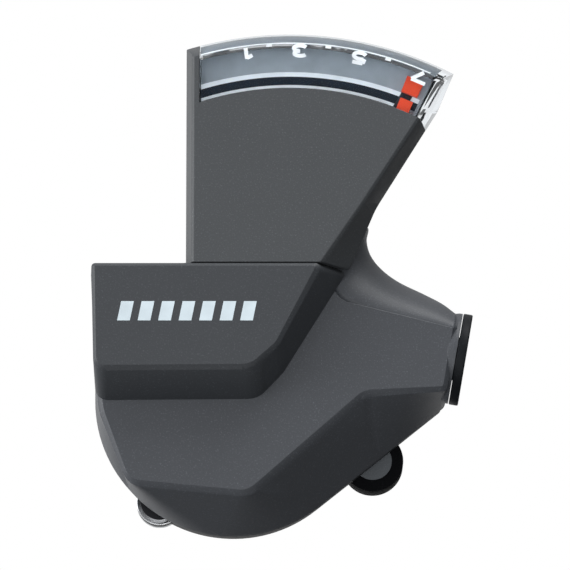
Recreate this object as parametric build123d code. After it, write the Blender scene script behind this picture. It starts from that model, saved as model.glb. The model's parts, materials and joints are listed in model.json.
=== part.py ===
from build123d import *
import math
import os

# Right-hand seven-speed trigger shifter for a flat handlebar, in millimetres.
# The origin is the centre of the handlebar clamp's bore. +X runs along the bar towards the
# stem (the cable leaves that way), +Y points at the rider, +Z is the normal of the top cover.

# ---- Driving dimensions: handlebar clamp
BAR_BORE_R = 11.15
CLAMP_WALL = 2.45
CLAMP_WIDTH = 13.0
CLAMP_SPLIT = 2.0
LUG_THICKNESS = 4.0
LUG_DROP = 8.5
CLAMP_BOLT_R = 2.5
CLAMP_BOLT_HEAD_R = 4.2
CLAMP_BOLT_HEAD = 5.0
CLAMP_BOLT_SOCKET_R = 2.3
CLAMP_NUT_R = 4.4
CLAMP_NUT_THICKNESS = 3.2
FOOT_THICKNESS = 3.0
FOOT_SCREW_R = 1.8
FOOT_SCREW_HEAD_R = 3.0
FOOT_SCREW_HEAD = 2.0

# ---- Driving dimensions: levels of the covers
COVER_HEIGHT = 14.0
COVER_WALL = 1.8
COVER_EDGE = 0.7
PLATE_RISE = 6.5
PLATE_WALL = 1.6
PLATE_EDGE = 0.5
DOORWAY_TAPER = 1.8
DOORWAY_DEPTH = 2.0
NECK_RISE = 6.0
NECK_WALL = 1.4
NECK_EDGE = 0.4
NECK_FLOOR = 1.0
BASE_DEPTH = 6.0
BASE_FLOOR = 1.5
BASE_WALL = 1.8
BASE_SETBACK = 0.6
STEEL_PLATE = 1.5

# ---- Driving dimensions: spool, axle and index gear
SPOOL_X, SPOOL_Y = -4.5, -38.6
CABLE_R = 0.6
GROOVE_R = 10.6
GROOVE_WIDTH = 2.0
FLANGE_R = 13.0
FLANGE_LOWER = 1.2
FLANGE_UPPER = 0.8
CABLE_LEVEL = 7.0
SPOOL_HUB_R = 5.0
SPOOL_BODY_R = 10.0
SPOOL_BOTTOM = 2.0
AXLE_R = 3.0
AXLE_SHOULDER_R = 4.4
GEAR_STEP = 15.3
GEARS = 7
GEAR_MODULE = 0.6
PINION_TEETH = 15
RING_TEETH = 45
GEAR_FACE = 1.4
GEAR_BACKLASH = 0.14

# ---- Driving dimensions: ratchets and pawls
FEED_TIP_R = 9.5
HOLD_TIP_R = 11.0
TOOTH_DEPTH = 0.8
RATCHET_TEETH = 8
FEED_RATCHET_Z = -1.4
HOLD_RATCHET_Z = 0.4
RATCHET_THICKNESS = 1.4
PAWL_GAP = 0.35
PAWL_PIN_R = 1.0
DRIVE_PLATE_Z = -4.0
DRIVE_PLATE_THICKNESS = 1.2
FEED_PIVOT_R, FEED_PIVOT_DEG = 13.2, 250.0
HOLD_PIVOT_R, HOLD_PIVOT_DEG = 14.6, 170.0

# ---- Driving dimensions: levers
LEVER_THICKNESS = 2.2
RELEASE_THICKNESS = 2.0
LEVER_HUB_R = 7.0
LEVER_DEG = 140.0
LEVER_REACH = 19.0
LEVER_RANGE = 45.0
LEVER_WASHER = 0.5
PAD_LENGTH = 13.0
PAD_HEIGHT = 12.0
PAD_THICKNESS = 3.4
DRIVE_POST_R = 1.6
DRIVE_POST_REACH = 9.6
DRIVE_POST_DEG = 30.0
RELEASE_DEG = -21.4
RELEASE_REACH = 24.0
RELEASE_RANGE = 12.0
RELEASE_PAD_R = 4.96
RELEASE_INSET_R = 3.1
RELEASE_PAD_HEIGHT = 4.4
TAB_REACH = 18.0
TAB_DEG = 156.0
TAB_R = 1.1
TAIL_LEAD_DEG = 11.0

# ---- Driving dimensions: gear indicator
NEEDLE_REST_DEG = 67.1
NEEDLE_ELBOW_R, NEEDLE_ELBOW_DEG = 20.0, 80.0
NEEDLE_TIP_R = 51.6
NEEDLE_RISER_R, NEEDLE_RISER_DEG = 9.5, 92.0
NEEDLE_THICKNESS = 0.8
NEEDLE_LEVEL = 2.4
WINDOW_INNER_R = 45.6
WINDOW_OUTER_TOP_R = 53.2
WINDOW_OUTER_LOW_R = 55.9
WINDOW_LEFT_X = -9.9
DIAL_THICKNESS = 1.15
DIAL_OUTER_R = 53.3
DIAL_START_DEG, DIAL_STOP_DEG = 64.4, 105.2

# ---- Driving dimensions: cable adjuster
BOSS_R = 6.9
BOSS_REACH = 35.6
EXIT_DEG = -9.8
COLLAR_R = 7.35
COLLAR_THICKNESS = 1.5
BARREL_R = 3.5
BARREL_LENGTH = 14.0
SOCKET_R = 2.55
SOCKET_DEPTH = 5.0
INSERT_R = 4.8
INSERT_LENGTH = 9.0
BUSH_LENGTH = 2.0
BUSH_R = 2.3

# ---- Driving dimensions: fixings
BASE_SCREW_X, BASE_SCREW_Y = -16.5, -54.6
BASE_SCREW_HEAD_R = 3.1
BASE_SCREW_HEAD = 1.4
BASE_SCREW_R = 1.5
BASE_WASHER_R = 3.7
BASE_WASHER = 0.5
COVER_SCREW_R = 1.25
COVER_SCREW_HEAD_R = 2.4
COVER_SCREW_HEAD = 1.6
COVER_SCREW_REACH = 7.0
COVER_POST_R = 2.7
COVER_SCREWS = [(-21.5, -22.8), (11.8, -19.4), (12.6, -46.0)]

NEEDLE_PIN_R = 1.2
COLLAR_GAP = 1.9
BOSS_LENGTH = 15.0
INNER_CORNER = 0.4
PLATE_DISC_R = 15.0
FOOT_X = 0.8
TONGUE_HALF = 5.6
TONGUE_END = -12.8
TONGUE_FRONT = -24.5
FOOT_SCREWS_Y = (-22.0, -15.6)
SPRING_POCKET_R = 9.2
FEED_FIRST_DEG = 170.0
HOLD_FIRST_DEG = 50.0
FLAG_INNER_R = 48.9
FLAG_HALF_DEG = 1.6
FLAG_RISE = 0.7

# ---- Named clearances
RUNNING = 0.05
FIXED = 0.02
FLAT = 0.2
OPEN = 0.3
PASS_THROUGH = 0.6

# ---- Levels and places worked out from the driving dimensions
COVER_INSIDE = COVER_HEIGHT - COVER_WALL
NECK_TOP = COVER_HEIGHT + NECK_RISE
NECK_INSIDE = NECK_TOP - NECK_WALL
PLATE_TOP = COVER_HEIGHT + PLATE_RISE
BASE_BOTTOM = -BASE_DEPTH
FLOOR_TOP = BASE_BOTTOM + BASE_FLOOR
STEEL_BOTTOM = BASE_BOTTOM - STEEL_PLATE
RELEASE_TOP = STEEL_BOTTOM - LEVER_WASHER
RELEASE_BOTTOM = RELEASE_TOP - RELEASE_THICKNESS
LEVER_TOP = RELEASE_BOTTOM - LEVER_WASHER
LEVER_BOTTOM = LEVER_TOP - LEVER_THICKNESS
SPRING_LENGTH = 2.6
AXLE_WASHER = 0.6
WASHER_TOP = LEVER_BOTTOM - SPRING_LENGTH
NUT_HEIGHT = 3.0
NUT_BOTTOM = WASHER_TOP - AXLE_WASHER - NUT_HEIGHT
AXLE_BOTTOM = NUT_BOTTOM - 0.8
CLAMP_OUTER_R = BAR_BORE_R + CLAMP_WALL
GROOVE_BOTTOM = CABLE_LEVEL - GROOVE_WIDTH / 2
GROOVE_TOP = CABLE_LEVEL + GROOVE_WIDTH / 2
FLANGE_BOTTOM = GROOVE_BOTTOM - FLANGE_LOWER
SPOOL_TOP = GROOVE_TOP + FLANGE_UPPER
AXLE_TOP = SPOOL_TOP - 0.2
PINION_FLANGE = 0.6
PINION_BOTTOM = SPOOL_TOP + PINION_FLANGE
PINION_TOP = PINION_BOTTOM + GEAR_FACE
SECTOR_PLATE_BOTTOM = PINION_TOP + FLAT
SECTOR_PLATE_TOP = SECTOR_PLATE_BOTTOM + NEEDLE_THICKNESS
NEEDLE_Z = COVER_HEIGHT + NEEDLE_LEVEL
MESH_DEG = 6.5
CENTRE_DISTANCE = GEAR_MODULE * (RING_TEETH - PINION_TEETH) / 2
NEEDLE_X = SPOOL_X + CENTRE_DISTANCE * math.cos(math.radians(MESH_DEG))
NEEDLE_Y = SPOOL_Y + CENTRE_DISTANCE * math.sin(math.radians(MESH_DEG))
SPOOL_RANGE = GEAR_STEP * (GEARS - 1)
NEEDLE_RANGE = SPOOL_RANGE * PINION_TEETH / RING_TEETH
SPOOL = (SPOOL_X, SPOOL_Y)
NEEDLE = (NEEDLE_X, NEEDLE_Y)
PIN_TOP = COVER_HEIGHT - 0.6

# ---- Outlines: each list runs the same way round, so that the low and high loops pair up.
# Main cover: rear left, rear right under the neck, fairing, boss rear, boss front,
# bend of the front right slope, then the three corners of the round front.
COVER_LOW = [
    (-26.9, -17.6), (16.4, -13.2), (17.3, -20.9), (31.6, -26.8), (29.3, -39.9),
    (19.0, -48.2), (2.2, -61.6), (-15.1, -60.1), (-26.8, -47.3),
]
COVER_LOW_RADII = [2.5, 1.0, 7.0, 0.8, 1.5, 60.0, 21.8, 21.8, 21.8]
COVER_HIGH = [
    (-26.4, -20.6), (10.3, -20.0), (12.6, -24.6), (31.1, -29.2), (29.3, -39.8),
    (16.4, -40.4), (-2.0, -56.6), (-21.4, -54.7), (-25.9, -42.5),
]
COVER_HIGH_RADII = [1.5, 0.8, 3.0, 0.6, 0.8, 3.0, 4.0, 3.5, 10.0]
COVER_TURNS = [1, 1, -1, 1, 1, -1, 1, 1, 1]
COVER_EDGE_RADII = [0.8, 0.4, 3.7, 0.3, 0.4, 3.7, 3.3, 2.8, 9.3]
# Raised name plate block: rear left, rear right, right front bend, front right, front left.
PLATE_LOW = [(-27.2, -20.4), (13.7, -20.4), (3.4, -37.0), (-0.6, -41.2), (-26.3, -41.4)]
PLATE_LOW_RADII = [0.8, 0.8, 4.0, 4.0, 2.0]
PLATE_HIGH = [(-26.9, -20.5), (9.4, -20.5), (2.6, -33.6), (-1.6, -37.3), (-26.5, -37.5)]
PLATE_HIGH_RADII = [0.6, 0.8, 4.0, 4.0, 2.0]
PLATE_EDGE_RADII = [0.3, 0.4, 3.5, 3.5, 1.5]
PLATE_INNER_RADII = [0.4, 0.4, 2.5, 2.5, 0.6]
# Right side of the neck: front, waist and the tip beside the window.
NECK_LEFT_LOW, NECK_LEFT_HIGH = -12.1, -11.1
NECK_FRONT = -20.3
NECK_RIGHT_LOW = [(14.0, NECK_FRONT), (18.2, -10.4), (28.0, 5.4)]
NECK_RIGHT_HIGH = [(9.6, NECK_FRONT), (16.2, -10.6), (25.6, 3.9)]
NECK_WAIST_R = 14.0
NECK_CORNER_LOW_DEG, NECK_CORNER_HIGH_DEG = 62.0, 62.6
NECK_CORNER_R = 2.6


def polar(centre, radius, degrees):
    """Point at a radius and angle from a centre in plan."""
    angle = math.radians(degrees)
    return (centre[0] + radius * math.cos(angle), centre[1] + radius * math.sin(angle))


def blend(low, high, share):
    """Loop part of the way from the low loop to the high one."""
    return [(a[0] + (b[0] - a[0]) * share, a[1] + (b[1] - a[1]) * share)
            for a, b in zip(low, high)]


def inset(points, distance):
    """Loop moved inwards by a distance; it may run either way round."""
    count = len(points)
    area = sum(points[i][0] * points[(i + 1) % count][1] - points[(i + 1) % count][0] * points[i][1]
               for i in range(count))
    side = 1.0 if area > 0 else -1.0
    lines = []
    for i in range(count):
        (x0, y0), (x1, y1) = points[i], points[(i + 1) % count]
        length = math.hypot(x1 - x0, y1 - y0)
        nx, ny = -(y1 - y0) / length * side, (x1 - x0) / length * side
        lines.append((nx, ny, nx * x0 + ny * y0 + distance))
    moved = []
    for i in range(count):
        (a, b, c), (d, e, f) = lines[i - 1], lines[i]
        det = a * e - b * d
        moved.append(((c * e - b * f) / det, (a * f - c * d) / det))
    return moved


def loop_face(points, radii, z):
    """Flat face inside a loop with rounded corners, at a level."""
    line = FilletPolyline(*points, radius=radii, close=True)
    return make_face(line).face().moved(Location((0, 0, z)))


def prism(points, radii, z0, z1):
    """Upright solid on a rounded loop."""
    return extrude(loop_face(points, radii, z0), z1 - z0, dir=(0, 0, 1))


def drafted(sections):
    """Solid with sloping walls through (points, radii, z) sections, straight between them."""
    return loft([loop_face(*section) for section in sections], ruled=True)


def disc(centre, radius, z0, z1):
    """Upright cylinder between two levels."""
    return Pos(centre[0], centre[1], z0) * Cylinder(
        radius, z1 - z0, align=(Align.CENTER, Align.CENTER, Align.MIN))


def ring(centre, outer, inner, z0, z1):
    """Upright tube between two levels."""
    return disc(centre, outer, z0, z1) - disc(centre, inner, z0 - 1, z1 + 1)


def hexagon(centre, corner_r, z0, z1):
    """Upright hexagonal prism."""
    return Pos(centre[0], centre[1], z0) * extrude(RegularPolygon(corner_r, 6), z1 - z0)


def sector(centre, inner, outer, start, stop, z0, z1):
    """Part of a flat ring between two angles."""
    edges = [
        Line(polar(centre, inner, start), polar(centre, outer, start)),
        ThreePointArc(polar(centre, outer, start), polar(centre, outer, (start + stop) / 2),
                      polar(centre, outer, stop)),
        Line(polar(centre, outer, stop), polar(centre, inner, stop)),
        ThreePointArc(polar(centre, inner, stop), polar(centre, inner, (start + stop) / 2),
                      polar(centre, inner, start)),
    ]
    return Pos(0, 0, z0) * extrude(make_face(Curve() + edges), z1 - z0, dir=(0, 0, 1))


def slot_path(centre, radius, width, start, stop, z0, z1):
    """Curved slot with round ends, for a pin that swings about a centre."""
    return (sector(centre, radius - width / 2, radius + width / 2, start, stop, z0, z1)
            + disc(polar(centre, radius, start), width / 2, z0, z1)
            + disc(polar(centre, radius, stop), width / 2, z0, z1))


def link(start, stop, start_width, stop_width, z0, z1):
    """Flat tapered bar between two points."""
    dx, dy = stop[0] - start[0], stop[1] - start[1]
    length = math.hypot(dx, dy)
    nx, ny = -dy / length, dx / length
    corners = [
        (start[0] + nx * start_width / 2, start[1] + ny * start_width / 2),
        (start[0] - nx * start_width / 2, start[1] - ny * start_width / 2),
        (stop[0] - nx * stop_width / 2, stop[1] - ny * stop_width / 2),
        (stop[0] + nx * stop_width / 2, stop[1] + ny * stop_width / 2),
    ]
    return prism(corners, [0.0] * 4, z0, z1)


def gear_face(teeth, addendum, dedendum, thinning, first_deg):
    """Involute gear outline about the origin, with a tooth centred on first_deg."""
    pitch_r = GEAR_MODULE * teeth / 2
    base_r = pitch_r * math.cos(math.radians(20))
    half = math.pi / (2 * teeth) - thinning / (2 * pitch_r)
    at_pitch = math.tan(math.acos(base_r / pitch_r)) - math.acos(base_r / pitch_r)
    low_r, high_r = max(base_r, pitch_r - dedendum), pitch_r + addendum
    flank = []
    for step in range(5):
        r = low_r + (high_r - low_r) * step / 4
        pressure = math.acos(min(1.0, base_r / r))
        flank.append((r, half + at_pitch - (math.tan(pressure) - pressure)))
    root_r = pitch_r - dedendum
    points = []
    for tooth in range(teeth):
        middle = math.radians(first_deg) + 2 * math.pi * tooth / teeth
        side = [(root_r, flank[0][1] * 1.05)] if root_r < low_r - 1e-6 else []
        for r, angle in side + flank:
            points.append((r * math.cos(middle - angle), r * math.sin(middle - angle)))
        for r, angle in reversed(side + flank):
            points.append((r * math.cos(middle + angle), r * math.sin(middle + angle)))
    return make_face(Polyline(*points, close=True))


def ratchet(tip_r, first_deg, z0):
    """Index plate: steep faces look clockwise, ramps fall away counter-clockwise."""
    root_r = tip_r - TOOTH_DEPTH
    plate = disc(SPOOL, root_r, z0, z0 + RATCHET_THICKNESS)
    ridge = GEAR_STEP * 0.18
    for tooth in range(RATCHET_TEETH):
        start = first_deg + GEAR_STEP * tooth
        corners = [
            polar(SPOOL, root_r - 0.5, start), polar(SPOOL, tip_r, start),
            polar(SPOOL, tip_r, start + ridge),
            polar(SPOOL, root_r - 0.05, start + GEAR_STEP * 0.92),
            polar(SPOOL, root_r - 0.5, start + GEAR_STEP * 0.5),
        ]
        plate += prism(corners, [0.0] * 5, z0, z0 + RATCHET_THICKNESS)
    return plate - disc(SPOOL, SPOOL_HUB_R + FIXED, z0 - 1, z0 + RATCHET_THICKNESS + 1)


# ---- Cable exit: the boss axis is tangent to the cable in the spool's groove
EXIT_X, EXIT_Y = math.cos(math.radians(EXIT_DEG)), math.sin(math.radians(EXIT_DEG))
TANGENT = polar(SPOOL, GROOVE_R + CABLE_R, EXIT_DEG + 90)
EXIT_POINT = (TANGENT[0] + BOSS_REACH * EXIT_X, TANGENT[1] + BOSS_REACH * EXIT_Y)


def along_exit(radius, start, stop):
    """Cylinder on the cable's axis, between two distances past the adjuster's outer face."""
    plane = Plane(origin=(EXIT_POINT[0] + start * EXIT_X, EXIT_POINT[1] + start * EXIT_Y,
                          CABLE_LEVEL), z_dir=(EXIT_X, EXIT_Y, 0))
    return plane.location * Cylinder(radius, stop - start,
                                     align=(Align.CENTER, Align.CENTER, Align.MIN))


def cover_shell_sections(wall, roof):
    """Sections of the main cover's inside: moved in by the wall and ending under the roof."""
    share = roof / COVER_HEIGHT
    low = [max(INNER_CORNER, r - wall) if turn > 0 else r + wall
           for r, turn in zip(COVER_LOW_RADII, COVER_TURNS)]
    high = [max(INNER_CORNER, r - wall) if turn > 0 else r + wall
            for r, turn in zip(COVER_HIGH_RADII, COVER_TURNS)]
    return [(inset(COVER_LOW, wall), low, 0),
            (inset(blend(COVER_LOW, COVER_HIGH, share), wall), high, roof)]


def cover_outside():
    """Solid inside the main cover's outer skin, with its small edge chamfer."""
    share = (COVER_HEIGHT - COVER_EDGE) / COVER_HEIGHT
    return drafted([
        (COVER_LOW, COVER_LOW_RADII, 0),
        (blend(COVER_LOW, COVER_HIGH, share), COVER_HIGH_RADII, COVER_HEIGHT - COVER_EDGE),
        (inset(COVER_HIGH, COVER_EDGE), COVER_EDGE_RADII, COVER_HEIGHT),
    ])


def build_main_cover():
    """Main cover shell with its cable boss, screw posts and the needle's roof slot."""
    outside = cover_outside()
    inside = drafted(cover_shell_sections(COVER_WALL, COVER_INSIDE))
    shell = outside - inside
    boss = along_exit(BOSS_R, -BOSS_LENGTH, -COLLAR_GAP)
    groove = (along_exit(BOSS_R + 1, -COLLAR_GAP - 1.0, -COLLAR_GAP - 0.6)
              - along_exit(BOSS_R - 0.5, -COLLAR_GAP - 2, -COLLAR_GAP))
    shell += boss - groove
    posts = [disc(point, COVER_POST_R, 0, COVER_INSIDE) & outside for point in COVER_SCREWS]
    for post in posts:
        shell += post
    for point in COVER_SCREWS:
        shell -= disc(point, COVER_SCREW_R + FIXED, -1, COVER_SCREW_REACH + 1)
    shell -= along_exit(INSERT_R + FIXED, -INSERT_LENGTH - COLLAR_GAP, 1)
    shell -= along_exit(BARREL_R + OPEN, -BARREL_LENGTH - 1, 1)
    shell -= along_exit(CABLE_R + PASS_THROUGH, -BOSS_REACH, 1)
    shell -= sector(NEEDLE, NEEDLE_RISER_R - 1.6, NEEDLE_RISER_R + 2.0,
                    NEEDLE_RISER_DEG - 9, NEEDLE_RISER_DEG + NEEDLE_RANGE + 9,
                    COVER_INSIDE - 1, COVER_HEIGHT + 1)
    shell -= disc(NEEDLE, NEEDLE_PIN_R + FIXED, COVER_INSIDE - 1, PIN_TOP)
    return shell


def build_name_plate():
    """Raised block over the rear of the main cover: a shell with an open back to the neck."""
    share = (PLATE_RISE - PLATE_EDGE) / PLATE_RISE
    outside = drafted([
        (PLATE_LOW, PLATE_LOW_RADII, COVER_HEIGHT),
        (blend(PLATE_LOW, PLATE_HIGH, share), PLATE_HIGH_RADII, PLATE_TOP - PLATE_EDGE),
        (inset(PLATE_HIGH, PLATE_EDGE), PLATE_EDGE_RADII, PLATE_TOP),
    ])
    roof_share = (PLATE_RISE - PLATE_WALL) / PLATE_RISE
    inside = drafted([
        (inset(PLATE_LOW, PLATE_WALL), PLATE_INNER_RADII, COVER_HEIGHT),
        (inset(blend(PLATE_LOW, PLATE_HIGH, roof_share), PLATE_WALL), PLATE_INNER_RADII,
         PLATE_TOP - PLATE_WALL),
    ])
    return outside - inside - needle_doorway()


def needle_doorway():
    """Opening that the needle swings through, narrowing forwards along the drafted right wall."""
    left, right = NECK_LEFT_HIGH + NECK_WALL, NECK_RIGHT_HIGH[0][0] - FLAT
    rear, front = NECK_FRONT + 1, NECK_FRONT - PLATE_WALL - DOORWAY_DEPTH
    return prism([(left, rear), (right, rear), (right - DOORWAY_TAPER, front), (left, front)],
                 [0.0] * 4, COVER_HEIGHT, NECK_INSIDE)


def neck_face(left, right, arc_r, corner_deg, z, corner_r):
    """Outline of the neck and its fan-shaped window, at a level."""
    left_deg = 90 + math.degrees(math.asin((NEEDLE_X - left) / arc_r))
    tip = polar(NEEDLE, arc_r, corner_deg)
    edges = [
        Line((left, NECK_FRONT), right[0]),
        FilletPolyline(right[0], right[1], right[2], tip, radius=[NECK_WAIST_R, corner_r]),
        ThreePointArc(tip, polar(NEEDLE, arc_r, (corner_deg + left_deg) / 2),
                      polar(NEEDLE, arc_r, left_deg)),
        Line(polar(NEEDLE, arc_r, left_deg), (left, NECK_FRONT)),
    ]
    return Pos(0, 0, z) * make_face(Curve() + edges)


def neck_outside():
    """Solid inside the neck's outer skin, lens included."""
    share = (NECK_RISE - NECK_EDGE) / NECK_RISE
    left = NECK_LEFT_LOW + (NECK_LEFT_HIGH - NECK_LEFT_LOW) * share
    low = neck_face(NECK_LEFT_LOW, NECK_RIGHT_LOW, WINDOW_OUTER_LOW_R, NECK_CORNER_LOW_DEG,
                    COVER_HEIGHT, NECK_CORNER_R)
    shoulder_r = WINDOW_OUTER_LOW_R + (WINDOW_OUTER_TOP_R - WINDOW_OUTER_LOW_R) * share
    shoulder = neck_face(left, blend(NECK_RIGHT_LOW, NECK_RIGHT_HIGH, share), shoulder_r,
                         NECK_CORNER_HIGH_DEG, NECK_TOP - NECK_EDGE, NECK_CORNER_R)
    top = neck_face(left + NECK_EDGE, [(x - NECK_EDGE, y) for x, y in NECK_RIGHT_HIGH],
                    shoulder_r - NECK_EDGE, NECK_CORNER_HIGH_DEG, NECK_TOP, NECK_CORNER_R)
    return loft([low.face(), shoulder.face(), top.face()], ruled=True)


def neck_inside():
    """Hollow of the neck, open at the front and underneath."""
    share = (NECK_RISE - NECK_WALL) / NECK_RISE
    right_low = [(x - NECK_WALL * 1.15, y - 0.4 * i) for i, (x, y) in enumerate(NECK_RIGHT_LOW)]
    right_high = [(x - NECK_WALL * 1.15, y - 0.4 * i)
                  for i, (x, y) in enumerate(blend(NECK_RIGHT_LOW, NECK_RIGHT_HIGH, share))]
    outer_high = WINDOW_OUTER_LOW_R + (WINDOW_OUTER_TOP_R - WINDOW_OUTER_LOW_R) * share
    low = neck_face(NECK_LEFT_LOW + NECK_WALL, right_low, WINDOW_OUTER_LOW_R - NECK_WALL,
                    NECK_CORNER_LOW_DEG + 1, COVER_HEIGHT, NECK_CORNER_R - 1)
    high = neck_face(NECK_LEFT_HIGH + NECK_WALL, right_high, outer_high - NECK_WALL,
                     NECK_CORNER_HIGH_DEG + 1, NECK_INSIDE, NECK_CORNER_R - 1)
    return loft([low.face(), high.face()], ruled=True)


def window_region(grow):
    """Space that the lens fills: outside the window's inner arc and right of its end."""
    reach = WINDOW_OUTER_LOW_R + 4
    fan = sector(NEEDLE, WINDOW_INNER_R - grow, reach, 40, 125, COVER_HEIGHT - 1, NECK_TOP + 1)
    keep = Pos(WINDOW_LEFT_X - grow, 0, COVER_HEIGHT - 1) * Box(
        80, 80, NECK_RISE + 2, align=(Align.MIN, Align.CENTER, Align.MIN))
    return fan & keep


def build_indicator():
    """Upper case, lens, lower case and dial of the gear indicator."""
    outside, inside = neck_outside(), neck_inside()
    shell = outside - inside
    upper = shell - window_region(FIXED)
    lens = shell & window_region(0)
    floor = prism([(-100, -100), (100, -100), (100, 100), (-100, 100)], [0.0] * 4,
                  COVER_HEIGHT, COVER_HEIGHT + NECK_FLOOR)
    lower = neck_floor_loop(RUNNING) & floor
    dial_seat = COVER_HEIGHT + NECK_FLOOR
    dial = sector(NEEDLE, WINDOW_INNER_R + 0.3, DIAL_OUTER_R, DIAL_START_DEG, DIAL_STOP_DEG,
                  dial_seat, dial_seat + DIAL_THICKNESS)
    return upper, lens, lower, dial


def neck_floor_loop(gap):
    """Straight-sided solid that drops into the neck from below."""
    right = [(x - NECK_WALL * 1.15 - gap - 0.9, y - 0.4 * i)
             for i, (x, y) in enumerate(NECK_RIGHT_LOW)]
    face = neck_face(NECK_LEFT_LOW + NECK_WALL + gap + 0.2, right,
                     WINDOW_OUTER_LOW_R - NECK_WALL - gap - 0.6, NECK_CORNER_LOW_DEG + 1.4,
                     COVER_HEIGHT, NECK_CORNER_R - 1)
    return extrude(face.face(), NECK_FLOOR, dir=(0, 0, 1))


def build_base():
    """Lower housing tray with recessed screw bosses, lever slots and the screw lug."""
    outline = inset(COVER_LOW, BASE_SETBACK)
    hollow = inset(COVER_LOW, BASE_SETBACK + BASE_WALL)
    outer_radii = [max(INNER_CORNER, r - BASE_SETBACK * t)
                   for r, t in zip(COVER_LOW_RADII, COVER_TURNS)]
    inner_radii = [max(INNER_CORNER, r - (BASE_SETBACK + BASE_WALL) * t)
                   for r, t in zip(COVER_LOW_RADII, COVER_TURNS)]
    lug = (BASE_SCREW_X, BASE_SCREW_Y)
    filled = prism(outline, outer_radii, BASE_BOTTOM, 0)
    tray = filled - prism(hollow, inner_radii, FLOOR_TOP, 1)
    tray += disc(lug, BASE_WASHER_R + OPEN + 1.2, BASE_BOTTOM, 0) & filled
    for point in COVER_SCREWS:
        tray += disc(point, COVER_POST_R + 0.8, BASE_BOTTOM, 0) & filled
    hold_pivot = polar(SPOOL, HOLD_PIVOT_R, HOLD_PIVOT_DEG)
    tray += disc(hold_pivot, PAWL_PIN_R + 1.2, FLOOR_TOP - 0.5, HOLD_RATCHET_Z - FLAT)
    tray += disc(lug, BASE_WASHER_R, BASE_BOTTOM, FLOOR_TOP - OPEN)
    tray -= disc(lug, BASE_WASHER_R + OPEN, FLOOR_TOP - OPEN, 1)
    tray -= disc(lug, BASE_SCREW_R + FIXED, BASE_BOTTOM - 1, 1)
    for point in COVER_SCREWS:
        tray -= disc(point, COVER_SCREW_R + FIXED, BASE_BOTTOM - 1, 1)
        tray -= disc(point, COVER_SCREW_HEAD_R + 0.1, BASE_BOTTOM - 1,
                     BASE_BOTTOM + COVER_SCREW_HEAD)
    tray -= disc(SPOOL, AXLE_SHOULDER_R + FLAT, BASE_BOTTOM - 1, 1)
    tray -= post_slot(BASE_BOTTOM - 1, 1)
    tray -= slot_path(SPOOL, TAB_REACH, (TAB_R + OPEN) * 2, TAB_DEG - 3,
                      TAB_DEG + RELEASE_RANGE + 3, BASE_BOTTOM - 1, 1)
    tray -= disc(hold_pivot, PAWL_PIN_R + FIXED, FLOOR_TOP - 0.3, 1)
    for y in FOOT_SCREWS_Y:
        tray -= disc((FOOT_X, y), FOOT_SCREW_R + FLAT, BASE_BOTTOM - 1, 1)
    return tray


def post_slot(z0, z1):
    """Slot that the main lever's drive post swings in."""
    return slot_path(SPOOL, DRIVE_POST_REACH, (DRIVE_POST_R + OPEN) * 2, DRIVE_POST_DEG - 1.5,
                     DRIVE_POST_DEG + LEVER_RANGE + 1.5, z0, z1)


def build_bottom_plate():
    """Steel plate that ties the axle, the lug and the clamp foot together."""
    lug = (BASE_SCREW_X, BASE_SCREW_Y)
    z0, z1 = STEEL_BOTTOM, BASE_BOTTOM
    plate = disc(SPOOL, PLATE_DISC_R, z0, z1)
    plate += link(SPOOL, lug, PLATE_DISC_R, BASE_WASHER_R * 2 - 0.4, z0, z1)
    plate += disc(lug, BASE_WASHER_R, z0, z1)
    tongue = [(FOOT_X - TONGUE_HALF, TONGUE_END), (FOOT_X + TONGUE_HALF, TONGUE_END),
              (FOOT_X + TONGUE_HALF, SPOOL_Y), (FOOT_X - TONGUE_HALF, SPOOL_Y)]
    plate += prism(tongue, [1.0, 1.0, 0.0, 0.0], z0, z1)
    plate -= disc(SPOOL, AXLE_R + FIXED, z0 - 1, z1 + 1)
    plate -= disc(lug, BASE_SCREW_R + FIXED, z0 - 1, z1 + 1)
    plate -= post_slot(z0 - 1, z1 + 1)
    for y in FOOT_SCREWS_Y:
        plate -= disc((FOOT_X, y), FOOT_SCREW_R + FIXED, z0 - 1, z1 + 1)
    return plate


def bar_cylinder(radius, half):
    """Cylinder on the handlebar's axis."""
    return Location((0, 0, 0), (0, 90, 0)) * Cylinder(radius, half * 2)


def across(x, z, radius, y0, y1):
    """Cylinder along Y between two stations."""
    return Location((x, y0, z), (-90, 0, 0)) * Cylinder(
        radius, y1 - y0, align=(Align.CENTER, Align.CENTER, Align.MIN))


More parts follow.
